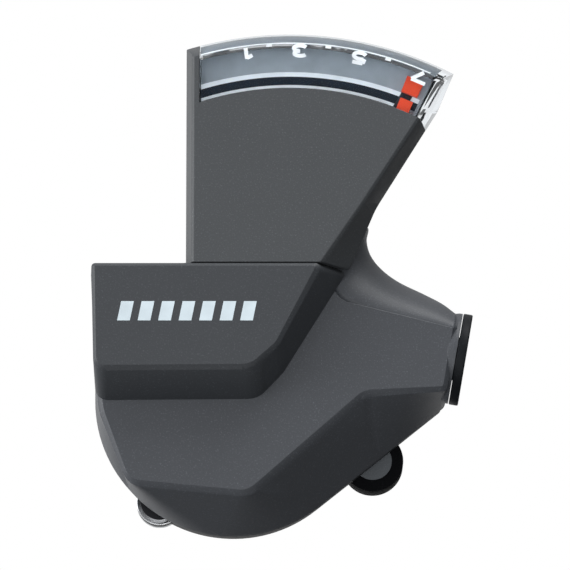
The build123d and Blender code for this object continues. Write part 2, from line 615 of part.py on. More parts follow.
def build_clamp():
    """Handlebar clamp with its foot, bolt, nut and foot screws."""
    half = CLAMP_WIDTH / 2
    lug_out = CLAMP_SPLIT / 2 + LUG_THICKNESS
    lug_low = -CLAMP_OUTER_R - LUG_DROP
    bolt_z = -CLAMP_OUTER_R - LUG_DROP / 2
    band = bar_cylinder(CLAMP_OUTER_R, half)
    band += Pos(0, 0, lug_low) * Box(CLAMP_WIDTH, lug_out * 2, LUG_DROP + 3,
                                     align=(Align.CENTER, Align.CENTER, Align.MIN))
    foot_low = STEEL_BOTTOM - FOOT_THICKNESS
    band += Pos(FOOT_X, TONGUE_FRONT, foot_low) * Box(
        TONGUE_HALF * 2, -TONGUE_FRONT - 9.0, FOOT_THICKNESS,
        align=(Align.CENTER, Align.MIN, Align.MIN))
    band -= bar_cylinder(BAR_BORE_R, half + 1)
    band -= Pos(0, 0, lug_low - 1) * Box(CLAMP_WIDTH + 2, CLAMP_SPLIT, LUG_DROP + 5,
                                         align=(Align.CENTER, Align.CENTER, Align.MIN))
    band -= across(0, bolt_z, CLAMP_BOLT_R + FIXED, -lug_out - 1, lug_out + 1)
    for y in FOOT_SCREWS_Y:
        band -= disc((FOOT_X, y), FOOT_SCREW_R + FIXED, foot_low - 1, STEEL_BOTTOM + 1)
    bolt = across(0, bolt_z, CLAMP_BOLT_R, -lug_out - CLAMP_NUT_THICKNESS - 1, lug_out)
    bolt += across(0, bolt_z, CLAMP_BOLT_HEAD_R, lug_out, lug_out + CLAMP_BOLT_HEAD)
    socket = Location((0, lug_out + CLAMP_BOLT_HEAD + 0.5, bolt_z), (90, 0, 0)) * extrude(
        RegularPolygon(CLAMP_BOLT_SOCKET_R, 6), 3.5)
    bolt -= socket
    nut = Location((0, -lug_out, bolt_z), (90, 0, 0)) * extrude(
        RegularPolygon(CLAMP_NUT_R, 6), CLAMP_NUT_THICKNESS)
    nut -= across(0, bolt_z, CLAMP_BOLT_R + FIXED, -lug_out - CLAMP_NUT_THICKNESS - 1, 0)
    screws = []
    for y in FOOT_SCREWS_Y:
        screw = disc((FOOT_X, y), FOOT_SCREW_R, foot_low, FLOOR_TOP - 0.4)
        screw += disc((FOOT_X, y), FOOT_SCREW_HEAD_R, foot_low - FOOT_SCREW_HEAD, foot_low)
        screw -= hexagon((FOOT_X, y), 1.45, foot_low - FOOT_SCREW_HEAD - 1, foot_low - 0.8)
        screws.append(screw)
    return band, bolt, nut, Compound(children=[s.solid() for s in screws])


def cross_screw(point, shaft_r, head_r, head, tip, underside, upward):
    """Pan-head screw with a cross recess; its head lies beyond the underside."""
    if upward:
        shape = disc(point, shaft_r, underside, tip) + disc(point, head_r, underside - head, underside)
        z0, z1 = underside - head - 1, underside - head + 0.7
    else:
        shape = disc(point, shaft_r, tip, underside) + disc(point, head_r, underside, underside + head)
        z0, z1 = underside + head - 0.7, underside + head + 1
    for turn in (0, 90):
        arm = Location((point[0], point[1], z0), (0, 0, turn)) * Box(
            head_r * 1.1, 0.6, z1 - z0, align=(Align.CENTER, Align.CENTER, Align.MIN))
        shape -= arm
    return shape


def build_fixings():
    """Base screw with its washer, and the three cover screws."""
    lug = (BASE_SCREW_X, BASE_SCREW_Y)
    seat = FLOOR_TOP - OPEN
    washer = ring(lug, BASE_WASHER_R, BASE_SCREW_R + FIXED, seat, seat + BASE_WASHER)
    base_screw = cross_screw(lug, BASE_SCREW_R, BASE_SCREW_HEAD_R, BASE_SCREW_HEAD,
                             STEEL_BOTTOM, seat + BASE_WASHER, False)
    cover = [cross_screw(point, COVER_SCREW_R, COVER_SCREW_HEAD_R, COVER_SCREW_HEAD - 0.1,
                         COVER_SCREW_REACH, BASE_BOTTOM + COVER_SCREW_HEAD, True)
             for point in COVER_SCREWS]
    return base_screw, washer, Compound(children=[s.solid() for s in cover])


def build_axle():
    """Main axle, its nut and washer, the lever washers and the two coil springs."""
    axle = disc(SPOOL, AXLE_R, AXLE_BOTTOM, AXLE_TOP)
    axle += disc(SPOOL, AXLE_SHOULDER_R, BASE_BOTTOM, DRIVE_PLATE_Z - FLAT)
    nut = hexagon(SPOOL, 5.2, NUT_BOTTOM, NUT_BOTTOM + NUT_HEIGHT)
    nut -= disc(SPOOL, AXLE_R + FIXED, NUT_BOTTOM - 1, NUT_BOTTOM + NUT_HEIGHT + 1)
    washer = ring(SPOOL, 6.0, AXLE_R + FIXED, WASHER_TOP - AXLE_WASHER, WASHER_TOP)
    thin = LEVER_WASHER - 0.1
    upper = ring(SPOOL, LEVER_HUB_R - 0.5, AXLE_R + FIXED, RELEASE_TOP + 0.1, RELEASE_TOP + 0.1 + thin)
    lower = ring(SPOOL, LEVER_HUB_R - 0.5, AXLE_R + FIXED, LEVER_TOP + 0.05, LEVER_TOP + 0.05 + thin)
    lever_spring = ring(SPOOL, 5.4, 4.2, WASHER_TOP, LEVER_BOTTOM - FLAT)
    spool_spring = ring(SPOOL, SPRING_POCKET_R - 0.6, SPRING_POCKET_R - 2.8,
                        SPOOL_BOTTOM + FLAT, FLANGE_BOTTOM - 0.4)
    washers = Compound(children=[upper.solid(), lower.solid()])
    return axle, nut, washer, washers, lever_spring, spool_spring


def build_spool():
    """Cable spool with its two index plates and the indicator's pinion."""
    hub_low = FEED_RATCHET_Z - FLAT
    spool = disc(SPOOL, SPOOL_HUB_R, hub_low, SPOOL_BOTTOM)
    spool += disc(SPOOL, SPOOL_BODY_R, SPOOL_BOTTOM, FLANGE_BOTTOM)
    spool += disc(SPOOL, FLANGE_R, FLANGE_BOTTOM, GROOVE_BOTTOM)
    spool += disc(SPOOL, GROOVE_R, GROOVE_BOTTOM, GROOVE_TOP)
    spool += disc(SPOOL, FLANGE_R, GROOVE_TOP, SPOOL_TOP)
    spool -= disc(SPOOL, AXLE_R + RUNNING, hub_low - 1, SPOOL_TOP + 1)
    spool -= ring(SPOOL, SPRING_POCKET_R, SPOOL_HUB_R, SPOOL_BOTTOM - 1, FLANGE_BOTTOM)
    anchor = polar(SPOOL, GROOVE_R - 1.2, EXIT_DEG + 90 - 20)
    spool -= disc(anchor, 2.2, GROOVE_BOTTOM - FLANGE_LOWER * 0.4, SPOOL_TOP + 1)
    feed = ratchet(FEED_TIP_R, FEED_FIRST_DEG, FEED_RATCHET_Z)
    hold = ratchet(HOLD_TIP_R, HOLD_FIRST_DEG, HOLD_RATCHET_Z)
    pinion = disc(SPOOL, 6.0, SPOOL_TOP, PINION_BOTTOM)
    pinion += Pos(SPOOL_X, SPOOL_Y, PINION_BOTTOM) * extrude(
        gear_face(PINION_TEETH, GEAR_MODULE * 0.85, GEAR_MODULE * 1.2, GEAR_BACKLASH,
                  180 + MESH_DEG), GEAR_FACE)
    pinion -= disc(SPOOL, 1.2, SPOOL_TOP - 1, PINION_TOP + 1)
    return spool, feed, hold, pinion


def build_needle():
    """Needle arm with its internal toothed sector, the pointer blocks and the pivot pin."""
    hub_low = PINION_BOTTOM + 0.1
    z0, z1 = SECTOR_PLATE_BOTTOM, SECTOR_PLATE_TOP
    ring_pitch = GEAR_MODULE * RING_TEETH / 2
    rim_in, rim_out = ring_pitch - GEAR_MODULE * 0.75, ring_pitch + GEAR_MODULE * 1.3 + 1.0
    first = 180 + MESH_DEG - NEEDLE_RANGE - 9
    last = 180 + MESH_DEG + 9
    rim = sector(NEEDLE, rim_in, rim_out, first, last, hub_low, z0 + 0.01)
    cutter = Pos(NEEDLE_X, NEEDLE_Y, hub_low - 1) * extrude(
        gear_face(RING_TEETH, GEAR_MODULE * 1.25, GEAR_MODULE * 0.9, -GEAR_BACKLASH * 0.2,
                  180 + MESH_DEG), GEAR_FACE + 4)
    rim -= cutter
    arm = rim + sector(NEEDLE, 2.0, rim_out, first, last, z0, z1)
    arm += disc(NEEDLE, 2.6, hub_low, z1)
    start = polar(NEEDLE, NEEDLE_RISER_R, NEEDLE_RISER_DEG)
    arm += link(NEEDLE, polar(NEEDLE, NEEDLE_RISER_R + 0.6, NEEDLE_RISER_DEG), 3.6, 2.4, z0, z1)
    arm += disc(start, 1.0, z0, NEEDLE_Z + NEEDLE_THICKNESS)
    elbow = polar(NEEDLE, NEEDLE_ELBOW_R, NEEDLE_ELBOW_DEG)
    tip = polar(NEEDLE, NEEDLE_TIP_R, NEEDLE_REST_DEG)
    arm += link(start, elbow, 2.0, 2.0, NEEDLE_Z, NEEDLE_Z + NEEDLE_THICKNESS)
    arm += disc(elbow, 1.0, NEEDLE_Z, NEEDLE_Z + NEEDLE_THICKNESS)
    arm += link(elbow, tip, 2.0, 1.8, NEEDLE_Z, NEEDLE_Z + NEEDLE_THICKNESS)
    arm -= disc(NEEDLE, NEEDLE_PIN_R + RUNNING, 0, COVER_HEIGHT + 1)
    flag_top = NEEDLE_Z + NEEDLE_THICKNESS + FLAG_RISE
    outer = sector(NEEDLE, FLAG_INNER_R, NEEDLE_TIP_R, NEEDLE_REST_DEG - FLAG_HALF_DEG,
                   NEEDLE_REST_DEG + FLAG_HALF_DEG, NEEDLE_Z + NEEDLE_THICKNESS, flag_top)
    inner = sector(NEEDLE, WINDOW_INNER_R - 1.0, FLAG_INNER_R - 1.0,
                   NEEDLE_REST_DEG - FLAG_HALF_DEG * 0.8, NEEDLE_REST_DEG + FLAG_HALF_DEG * 0.8,
                   NEEDLE_Z + NEEDLE_THICKNESS, flag_top)
    pin = disc(NEEDLE, NEEDLE_PIN_R, hub_low - 0.45, PIN_TOP)
    pin += disc(NEEDLE, 2.1, hub_low - 0.45, hub_low - 0.1)
    return arm, Compound(children=[outer.solid(), inner.solid()]), pin


def build_main_lever():
    """Thumb lever under the base, its pad, drive post, drive plate and pawl pin."""
    z0, z1 = LEVER_BOTTOM, LEVER_TOP
    post = polar(SPOOL, DRIVE_POST_REACH, DRIVE_POST_DEG)
    far = polar(SPOOL, LEVER_REACH + PAD_LENGTH / 2 - 1.0, LEVER_DEG)
    lever = disc(SPOOL, LEVER_HUB_R, z0, z1)
    lever += link(SPOOL, post, LEVER_HUB_R * 1.6, DRIVE_POST_R * 2 + 3.0, z0, z1)
    lever += disc(post, DRIVE_POST_R + 1.5, z0, z1)
    lever += link(SPOOL, far, LEVER_HUB_R * 1.8, PAD_THICKNESS, z0, z1)
    lever -= disc(SPOOL, AXLE_R + RUNNING, z0 - 1, z1 + 1)
    lever -= disc(post, DRIVE_POST_R + FIXED, z0 - 1, z1 + 1)
    drive_post = disc(post, DRIVE_POST_R, z0, DRIVE_PLATE_Z + DRIVE_PLATE_THICKNESS)
    near = polar(SPOOL, LEVER_REACH - PAD_LENGTH / 2, LEVER_DEG)
    tip = polar(SPOOL, LEVER_REACH + PAD_LENGTH / 2, LEVER_DEG)
    pad_low = z1 - PAD_HEIGHT
    pad = link(near, tip, PAD_THICKNESS, PAD_THICKNESS, pad_low, z1)
    pad += disc(tip, PAD_THICKNESS / 2, pad_low, z1)
    pad += disc(near, PAD_THICKNESS / 2, pad_low, z1)
    hollow = disc(polar(SPOOL, LEVER_REACH, LEVER_DEG - 60), 13.2, pad_low - 1, z0 - 1.5)
    pad -= hollow
    pad -= lever
    pad -= link(SPOOL, far, LEVER_HUB_R * 1.8, PAD_THICKNESS, z0, z1)
    pivot = polar(SPOOL, FEED_PIVOT_R, FEED_PIVOT_DEG)
    p0, p1 = DRIVE_PLATE_Z, DRIVE_PLATE_Z + DRIVE_PLATE_THICKNESS
    plate = disc(SPOOL, LEVER_HUB_R, p0, p1)
    plate += link(SPOOL, pivot, LEVER_HUB_R * 1.7, 4.0, p0, p1) + disc(pivot, 2.0, p0, p1)
    plate += link(SPOOL, post, LEVER_HUB_R * 1.7, 6.0, p0, p1) + disc(post, 3.0, p0, p1)
    plate -= disc(SPOOL, AXLE_R + RUNNING, p0 - 1, p1 + 1)
    plate -= disc(post, DRIVE_POST_R + FIXED, p0 - 1, p1 + 1)
    plate -= disc(pivot, PAWL_PIN_R + FIXED, p0 - 1, p1 + 1)
    pin = disc(pivot, PAWL_PIN_R, p0, FEED_RATCHET_Z + RATCHET_THICKNESS + 0.1)
    return lever, pad.solids().sort_by(SortBy.VOLUME)[-1], drive_post, plate, pin


def build_pawls():
    """Feed pawl on the drive plate and hooked hold pawl on the base, with springs and pin."""
    feed_pivot = polar(SPOOL, FEED_PIVOT_R, FEED_PIVOT_DEG)
    f0, f1 = FEED_RATCHET_Z - 0.4, FEED_RATCHET_Z + RATCHET_THICKNESS - 0.1
    feed_nose = polar(SPOOL, FEED_TIP_R + PAWL_GAP + 0.6, FEED_PIVOT_DEG + 21)
    feed = disc(feed_pivot, 1.9, f0, f1) + link(feed_pivot, feed_nose, 2.6, 1.0, f0, f1)
    feed -= disc(SPOOL, FEED_TIP_R + PAWL_GAP, f0 - 1, f1 + 1)
    feed -= disc(feed_pivot, PAWL_PIN_R + RUNNING, f0 - 1, f1 + 1)
    feed_spring = ring(feed_pivot, 1.8, PAWL_PIN_R + FLAT, DRIVE_PLATE_Z + DRIVE_PLATE_THICKNESS,
                       f0 - 0.1)
    hold_pivot = polar(SPOOL, HOLD_PIVOT_R, HOLD_PIVOT_DEG)
    h0, h1 = HOLD_RATCHET_Z, HOLD_RATCHET_Z + RATCHET_THICKNESS
    hold_nose = polar(SPOOL, HOLD_TIP_R + PAWL_GAP + 0.5, HOLD_PIVOT_DEG - 21)
    tail = polar(SPOOL, TAB_REACH, TAB_DEG + RELEASE_RANGE + TAIL_LEAD_DEG)
    hold = disc(hold_pivot, 2.1, h0, h1) + link(hold_pivot, hold_nose, 3.0, 1.1, h0, h1)
    hold += link(hold_pivot, tail, 3.2, 1.4, h0, h1)
    hold -= disc(SPOOL, HOLD_TIP_R + PAWL_GAP, h0 - 1, h1 + 1)
    hold -= disc(hold_pivot, PAWL_PIN_R + RUNNING, h0 - 1, h1 + 1)
    hold_spring = ring(hold_pivot, 1.9, PAWL_PIN_R + FLAT, h1 + 0.1, h1 + 1.2)
    hold_pin = disc(hold_pivot, PAWL_PIN_R, FLOOR_TOP - 0.2, h1 + 1.4)
    return feed, feed_spring, hold, hold_spring, hold_pin


def build_release():
    """Front release lever with its upright tab, round finger pad and pad inset."""
    z0, z1 = RELEASE_BOTTOM, RELEASE_TOP
    pad_at = polar(SPOOL, RELEASE_REACH, RELEASE_DEG)
    tab_at = polar(SPOOL, TAB_REACH, TAB_DEG)
    lever = disc(SPOOL, LEVER_HUB_R, z0, z1)
    lever += link(SPOOL, pad_at, LEVER_HUB_R * 1.5, 5.0, z0, z1) + disc(pad_at, 3.2, z0, z1)
    lever += link(SPOOL, tab_at, LEVER_HUB_R * 1.1, 3.4, z0, z1)
    lever += disc(tab_at, TAB_R, z0, HOLD_RATCHET_Z + RATCHET_THICKNESS)
    lever -= disc(SPOOL, AXLE_R + RUNNING, z0 - 1, z1 + 1)
    pad_low, pad_high = z0 - 1.6, z0 - 1.6 + RELEASE_PAD_HEIGHT
    pad = disc(pad_at, RELEASE_PAD_R, pad_low, pad_high)
    pad -= disc(pad_at, RELEASE_INSET_R + FIXED, pad_high - 0.6, pad_high + 1)
    pad -= link(SPOOL, pad_at, LEVER_HUB_R * 1.5, 5.0, z0, z1)
    pad -= disc(pad_at, 3.2, z0, z1)
    inset_disc = disc(pad_at, RELEASE_INSET_R, pad_high - 0.6, pad_high)
    return lever, pad.solids().sort_by(SortBy.VOLUME)[-1], inset_disc


def build_adjuster():
    """Threaded insert in the boss, barrel, its collar and the cable's stop bush."""
    insert = (along_exit(INSERT_R, -INSERT_LENGTH - COLLAR_GAP, -COLLAR_GAP)
              - along_exit(BARREL_R + RUNNING, -BARREL_LENGTH, 1))
    barrel = along_exit(BARREL_R, -BARREL_LENGTH, 0)
    barrel -= along_exit(SOCKET_R, -SOCKET_DEPTH, 1)
    barrel -= along_exit(BUSH_R + RUNNING, -SOCKET_DEPTH - BUSH_LENGTH - FLAT, 1)
    barrel -= along_exit(CABLE_R + PASS_THROUGH, -BARREL_LENGTH - 1, 1)
    collar = (along_exit(COLLAR_R, -COLLAR_THICKNESS, 0)
              - along_exit(BARREL_R + FIXED, -COLLAR_THICKNESS - 1, 1))
    bush = (along_exit(BUSH_R, -SOCKET_DEPTH - BUSH_LENGTH, -SOCKET_DEPTH)
            - along_exit(CABLE_R + OPEN, -SOCKET_DEPTH - BUSH_LENGTH - 1, 0))
    return insert, barrel, collar, bush


def build_parts():
    """Every node of the shifter by name."""
    upper, lens, lower, dial = build_indicator()
    band, bolt, nut, foot_screws = build_clamp()
    base_screw, base_washer, cover_screws = build_fixings()
    axle, axle_nut, axle_washer, washers, lever_spring, spool_spring = build_axle()
    spool, feed_plate, hold_plate, pinion = build_spool()
    arm, flag, needle_pin = build_needle()
    lever, pad, drive_post, drive_plate, feed_pin = build_main_lever()
    feed, feed_spring, hold, hold_spring, hold_pin = build_pawls()
    release, release_pad, release_inset = build_release()
    insert, barrel, collar, bush = build_adjuster()
    return {
        "main_cover": build_main_cover(), "name_plate": build_name_plate(),
        "indicator_case_upper": upper, "indicator_case_lower": lower,
        "indicator_window": lens, "dial_plate": dial,
        "base_housing": build_base(), "bottom_plate": build_bottom_plate(),
        "clamp_band": band, "clamp_bolt": bolt, "clamp_nut": nut,
        "clamp_foot_screws": foot_screws, "base_screw": base_screw,
        "base_screw_washer": base_washer, "cover_screws": cover_screws,
        "main_axle": axle, "axle_nut": axle_nut, "axle_washer": axle_washer,
        "lever_washers": washers, "lever_return_spring": lever_spring,
        "spool_return_spring": spool_spring, "cable_spool": spool,
        "feed_ratchet": feed_plate, "hold_ratchet": hold_plate,
        "indicator_pinion": pinion, "needle_arm": arm, "needle_flag": flag,
        "needle_pivot_pin": needle_pin, "main_lever": lever, "main_lever_pad": pad,
        "drive_post": drive_post, "lever_drive_plate": drive_plate,
        "feed_pawl_pin": feed_pin, "feed_pawl": feed, "feed_pawl_spring": feed_spring,
        "hold_pawl": hold, "hold_pawl_spring": hold_spring, "hold_pawl_pin": hold_pin,
        "release_lever": release, "release_lever_pad": release_pad,
        "release_pad_inset": release_inset, "adjuster_insert": insert,
        "barrel_adjuster": barrel, "adjuster_collar": collar, "cable_stop_bush": bush,
    }


if __name__ == "__main__":
    os.makedirs("parts", exist_ok=True)
    for node, shape in build_parts().items():
        export_step(shape, f"parts/{node}.step")
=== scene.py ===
"""Looks of a right-hand seven-speed trigger shifter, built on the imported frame."""

import json
import logging
import math
from dataclasses import dataclass, field
from enum import Enum

import bmesh
import bpy
import numpy as np
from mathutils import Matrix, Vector


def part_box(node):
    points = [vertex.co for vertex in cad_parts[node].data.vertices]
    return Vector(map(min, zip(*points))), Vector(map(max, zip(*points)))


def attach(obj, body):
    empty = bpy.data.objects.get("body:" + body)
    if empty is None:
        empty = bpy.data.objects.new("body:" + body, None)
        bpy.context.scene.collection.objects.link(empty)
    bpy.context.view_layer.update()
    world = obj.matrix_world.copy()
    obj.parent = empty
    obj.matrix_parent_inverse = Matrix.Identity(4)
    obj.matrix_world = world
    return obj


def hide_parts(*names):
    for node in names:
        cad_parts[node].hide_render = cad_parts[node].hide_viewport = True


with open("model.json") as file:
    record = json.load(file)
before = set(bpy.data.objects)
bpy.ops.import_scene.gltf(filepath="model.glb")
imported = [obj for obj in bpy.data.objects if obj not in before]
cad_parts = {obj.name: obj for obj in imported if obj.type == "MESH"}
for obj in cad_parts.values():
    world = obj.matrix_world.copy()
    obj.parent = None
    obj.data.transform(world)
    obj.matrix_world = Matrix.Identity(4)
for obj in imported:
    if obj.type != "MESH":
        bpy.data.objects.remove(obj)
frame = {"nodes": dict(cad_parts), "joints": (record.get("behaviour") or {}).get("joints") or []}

log = logging.getLogger("shifter")

MM = 0.001
UP = np.array([0.0, 0.0, 1.0])

# Octaves and roughness of the shader groups' noise, the part of its 0 to 1 range that each
# mask keeps, how far scratches are drawn out along X, and the size of a stain.
GRAIN_NOISE = (3.0, 0.65)
CLOUD_NOISE = (2.0, 0.5)
SCRATCH_NOISE = (4.0, 0.5)
SPECKLE_RANGE = (0.56, 0.74)
CLOUD_RANGE = (0.3, 0.7)
SCRATCH_STRETCH = (0.06, 1.0, 1.0)
STAIN_MM = 4.0

# Colour sockets of the Mix node, whose names repeat.
MIX_FIRST, MIX_SECOND, MIX_RESULT = 6, 7, 2

# Two vertices nearer than this, in metres, are one.
MERGE_M = 1e-7
WELD_M = 1e-6


# --------------------------------------------------------------------------- shared helpers


def joint_point(name: str) -> np.ndarray:
    """Rest position of a joint in metres.

    Args:
        name: the joint's name in the record.

    Returns:
        Its x, y, z as an array.
    """
    joint = next(j for j in frame["joints"] if j["name"] == name)
    return np.array(joint["pos_m"], float)


def joint_axis(name: str) -> np.ndarray:
    """Unit axis of a joint.

    Args:
        name: the joint's name in the record.

    Returns:
        The axis as an array.
    """
    joint = next(j for j in frame["joints"] if j["name"] == name)
    axis = np.array(joint["axis"], float)
    return axis / np.linalg.norm(axis)


def low_high(node: str) -> tuple[np.ndarray, np.ndarray]:
    """Lowest and highest corners of a CAD node in metres.

    Args:
        node: the node's name.

    Returns:
        Two arrays, low and high.
    """
    low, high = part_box(node)
    return np.array(low, float), np.array(high, float)


def polar(centre: np.ndarray, radius: np.ndarray | float,
          degrees: np.ndarray | float) -> np.ndarray:
    """Plan points at radii and angles from a centre: x and y are the radius times cosine and sine.

    Args:
        centre: x and y of the centre.
        radius: one radius or an array.
        degrees: one angle or an array.

    Returns:
        An array whose last axis holds x and y.
    """
    angle = np.radians(degrees)
    radius, angle = np.broadcast_arrays(np.asarray(radius, float), angle)
    return np.stack([centre[0] + radius * np.cos(angle), centre[1] + radius * np.sin(angle)], -1)


def smooth_path(knots: list[tuple[float, ...]], count: int) -> np.ndarray:
    """Catmull-Rom curve: a cubic between each two knots whose slope follows their neighbours.

    Args:
        knots: points that the curve passes through.
        count: points wanted along it.

    Returns:
        The curve's points.
    """
    knots = np.asarray(knots, float)
    spread = np.linspace(0, len(knots) - 1, count)
    start = np.clip(np.floor(spread).astype(int), 0, len(knots) - 2)
    u = (spread - start)[:, None]
    padded = np.vstack([2 * knots[0] - knots[1], knots, 2 * knots[-1] - knots[-2]])
    a, b, c, d = (padded[start + shift] for shift in range(4))
    return 0.5 * (2 * b + (c - a) * u + (2 * a - 5 * b + 4 * c - d) * u ** 2
                  + (3 * b - a - 3 * c + d) * u ** 3)


def mesh_object(name: str, points: np.ndarray, faces: list | np.ndarray,
                smooth: bool) -> bpy.types.Object:
    """Links a mesh made of points and faces.

    Args:
        name: name of the piece.
        points: vertices as rows of x, y, z in metres.
        faces: vertex numbers of each face.
        smooth: whether its faces are shaded smooth.

    Returns:
        The new object, at the origin.
    """
    mesh = bpy.data.meshes.new(name)
    mesh.from_pydata(points.tolist(), [], [list(map(int, face)) for face in faces])
    mesh.polygons.foreach_set("use_smooth", np.full(len(mesh.polygons), smooth))
    mesh.update()
    obj = bpy.data.objects.new(name, mesh)
    bpy.context.scene.collection.objects.link(obj)
    return obj


def grid_faces(rows: int, columns: int, wrap_rows: bool, wrap_columns: bool) -> np.ndarray:
    """Quads of a grid of points, numbered row by row, with either way closed on itself.

    Args:
        rows: points along the first parameter.
        columns: points along the second parameter.
        wrap_rows: joins the last row to the first.
        wrap_columns: joins the last column to the first.

    Returns:
        Rows of four vertex numbers.
    """
    i = np.arange(rows if wrap_rows else rows - 1)
    j = np.arange(columns if wrap_columns else columns - 1)
    i, j = (a.ravel() for a in np.meshgrid(i, j, indexing="ij"))
    down, right = (i + 1) % rows, (j + 1) % columns
    return np.stack([i * columns + j, down * columns + j,
                     down * columns + right, i * columns + right], 1)


def capped_faces(rows: int, columns: int, flipped: bool = False) -> list:
    """Faces of a solid bar: quads round and along its rings, and a flat face at each end.

    Args:
        rows: rings along the bar.
        columns: points round each ring.
        flipped: numbers the quads the other way round.

    Returns:
        Lists of vertex numbers.
    """
    last = (rows - 1) * columns
    quads = grid_faces(rows, columns, False, True)
    faces = (quads[:, ::-1] if flipped else quads).tolist()
    faces.append(list(range(columns))[::-1])
    faces.append(list(range(last, last + columns)))
    return faces


def tube(path: np.ndarray, radius: float, sides: int = 10) -> tuple[np.ndarray, np.ndarray]:
    """Round wire along a path: each ring lies in the plane of the path's normal and binormal.

    Args:
        path: points along the wire's middle.
        radius: the wire's radius.
        sides: points round each ring.

    Returns:
        Points and faces, with flat end caps.
    """
    tangent = np.gradient(path, axis=0)
    tangent /= np.linalg.norm(tangent, axis=1, keepdims=True)
    normal = np.cross(np.tile(UP, (len(path), 1)), tangent)
    normal /= np.linalg.norm(normal, axis=1, keepdims=True)
    binormal = np.cross(tangent, normal)
    turn = np.linspace(0, 2 * np.pi, sides, endpoint=False)
    ring = (path[:, None] + radius * (np.cos(turn)[None, :, None] * normal[:, None]
                                      + np.sin(turn)[None, :, None] * binormal[:, None]))
    return ring.reshape(-1, 3), capped_faces(len(path), sides, flipped=True)


def slab(plan: np.ndarray, low: float, high: float) -> tuple[np.ndarray, np.ndarray]:
    """Closed ribbon: a strip of plan points across a path, lifted to two levels.

    Args:
        plan: array of shape (stations, 2, 2) with the left and right edge at each station.
        low: the underside's level.
        high: the top's level.

    Returns:
        Points and faces; each station has four corners joined round and along.
    """
    corners = np.zeros((len(plan), 4, 3))
    corners[:, 0, :2], corners[:, 1, :2] = plan[:, 0], plan[:, 1]
    corners[:, 2, :2], corners[:, 3, :2] = plan[:, 1], plan[:, 0]
    corners[:, 0, 2] = corners[:, 1, 2] = low
    corners[:, 2, 2] = corners[:, 3, 2] = high
    return corners.reshape(-1, 3), capped_faces(len(plan), 4)


def joined(parts: list) -> tuple[np.ndarray, list]:
    """One mesh out of several.

    Args:
        parts: pairs of points and faces.

    Returns:
        All points, and all faces renumbered.
    """
    points, faces, start = [], [], 0
    for some_points, some_faces in parts:
        points.append(some_points)
        faces += [[index + start for index in face] for face in some_faces]
        start += len(some_points)
    return np.concatenate(points), faces


def outward(obj: bpy.types.Object) -> bpy.types.Object:
    """Merges doubles and turns every face outwards.

    Args:
        obj: a closed mesh object.

    Returns:
        The same object.
    """
    work = bmesh.new()
    work.from_mesh(obj.data)
    bmesh.ops.remove_doubles(work, verts=work.verts, dist=MERGE_M)
    bmesh.ops.recalc_face_normals(work, faces=work.faces)
    work.to_mesh(obj.data)
    work.free()
    return obj


# --------------------------------------------------------------------------- shader groups


def node_group(name: str, inputs: dict[str, float], outputs: dict[str, str]) -> bpy.types.NodeTree:
    """Empty shader group with named sockets.

    Args:
        name: the group's name.
        inputs: float inputs and their defaults.
        outputs: output names and their socket types.

    Returns:
        The group's tree, with its input and output nodes.
    """
    tree = bpy.data.node_groups.new(name, "ShaderNodeTree")
    for label, value in inputs.items():
        socket = tree.interface.new_socket(label, in_out="INPUT", socket_type="NodeSocketFloat")
        socket.default_value = value
    for label, kind in outputs.items():
        tree.interface.new_socket(label, in_out="OUTPUT", socket_type=kind)
    tree.nodes.new("NodeGroupInput").name = "in"
    tree.nodes.new("NodeGroupOutput").name = "out"
    return tree


def linked(tree: bpy.types.NodeTree, source: tuple, target: tuple) -> None:
    """Links one node's output to another's input.

    Args:
        tree: the tree that holds both nodes.
        source: node and output, by name or number.
        target: node and input, by name or number.
    """
    tree.links.new(source[0].outputs[source[1]], target[0].inputs[target[1]])


def ranged(tree: bpy.types.NodeTree, source: tuple, low: float, high: float,
           start: float = 0.0, stop: float = 1.0) -> tuple:
    """Maps one range of values to another.

    Args:
        tree: the tree to build in.
        source: node and output of the value.
        low: result at the start.
        high: result at the stop.
        start: value that gives the low result.
        stop: value that gives the high result.

    Returns:
        The mapping node and its output's name.
    """
    node = tree.nodes.new("ShaderNodeMapRange")
    for label, value in (("From Min", start), ("From Max", stop),
                         ("To Min", low), ("To Max", high)):
        node.inputs[label].default_value = value
    linked(tree, source, (node, "Value"))
    return node, "Result"


def sized_noise(tree: bpy.types.NodeTree, vector: tuple, size: tuple, detail: float,
                roughness: float = 0.5) -> tuple:
    """Noise whose cells have a size in millimetres.

    Args:
        tree: the tree to build in.
        vector: node and output of the place.
        size: node and output of the size.
        detail: octaves of the noise.
        roughness: weight of the finer octaves.

    Returns:
        The noise node and its output's name.
    """
    scale = tree.nodes.new("ShaderNodeMath")
    scale.operation = "DIVIDE"
    scale.inputs[0].default_value = 1 / MM
    linked(tree, size, (scale, 1))
    noise = tree.nodes.new("ShaderNodeTexNoise")
    noise.inputs["Detail"].default_value = detail
    noise.inputs["Roughness"].default_value = roughness
    linked(tree, vector, (noise, "Vector"))
    linked(tree, (scale, 0), (noise, "Scale"))
    return noise, "Fac"


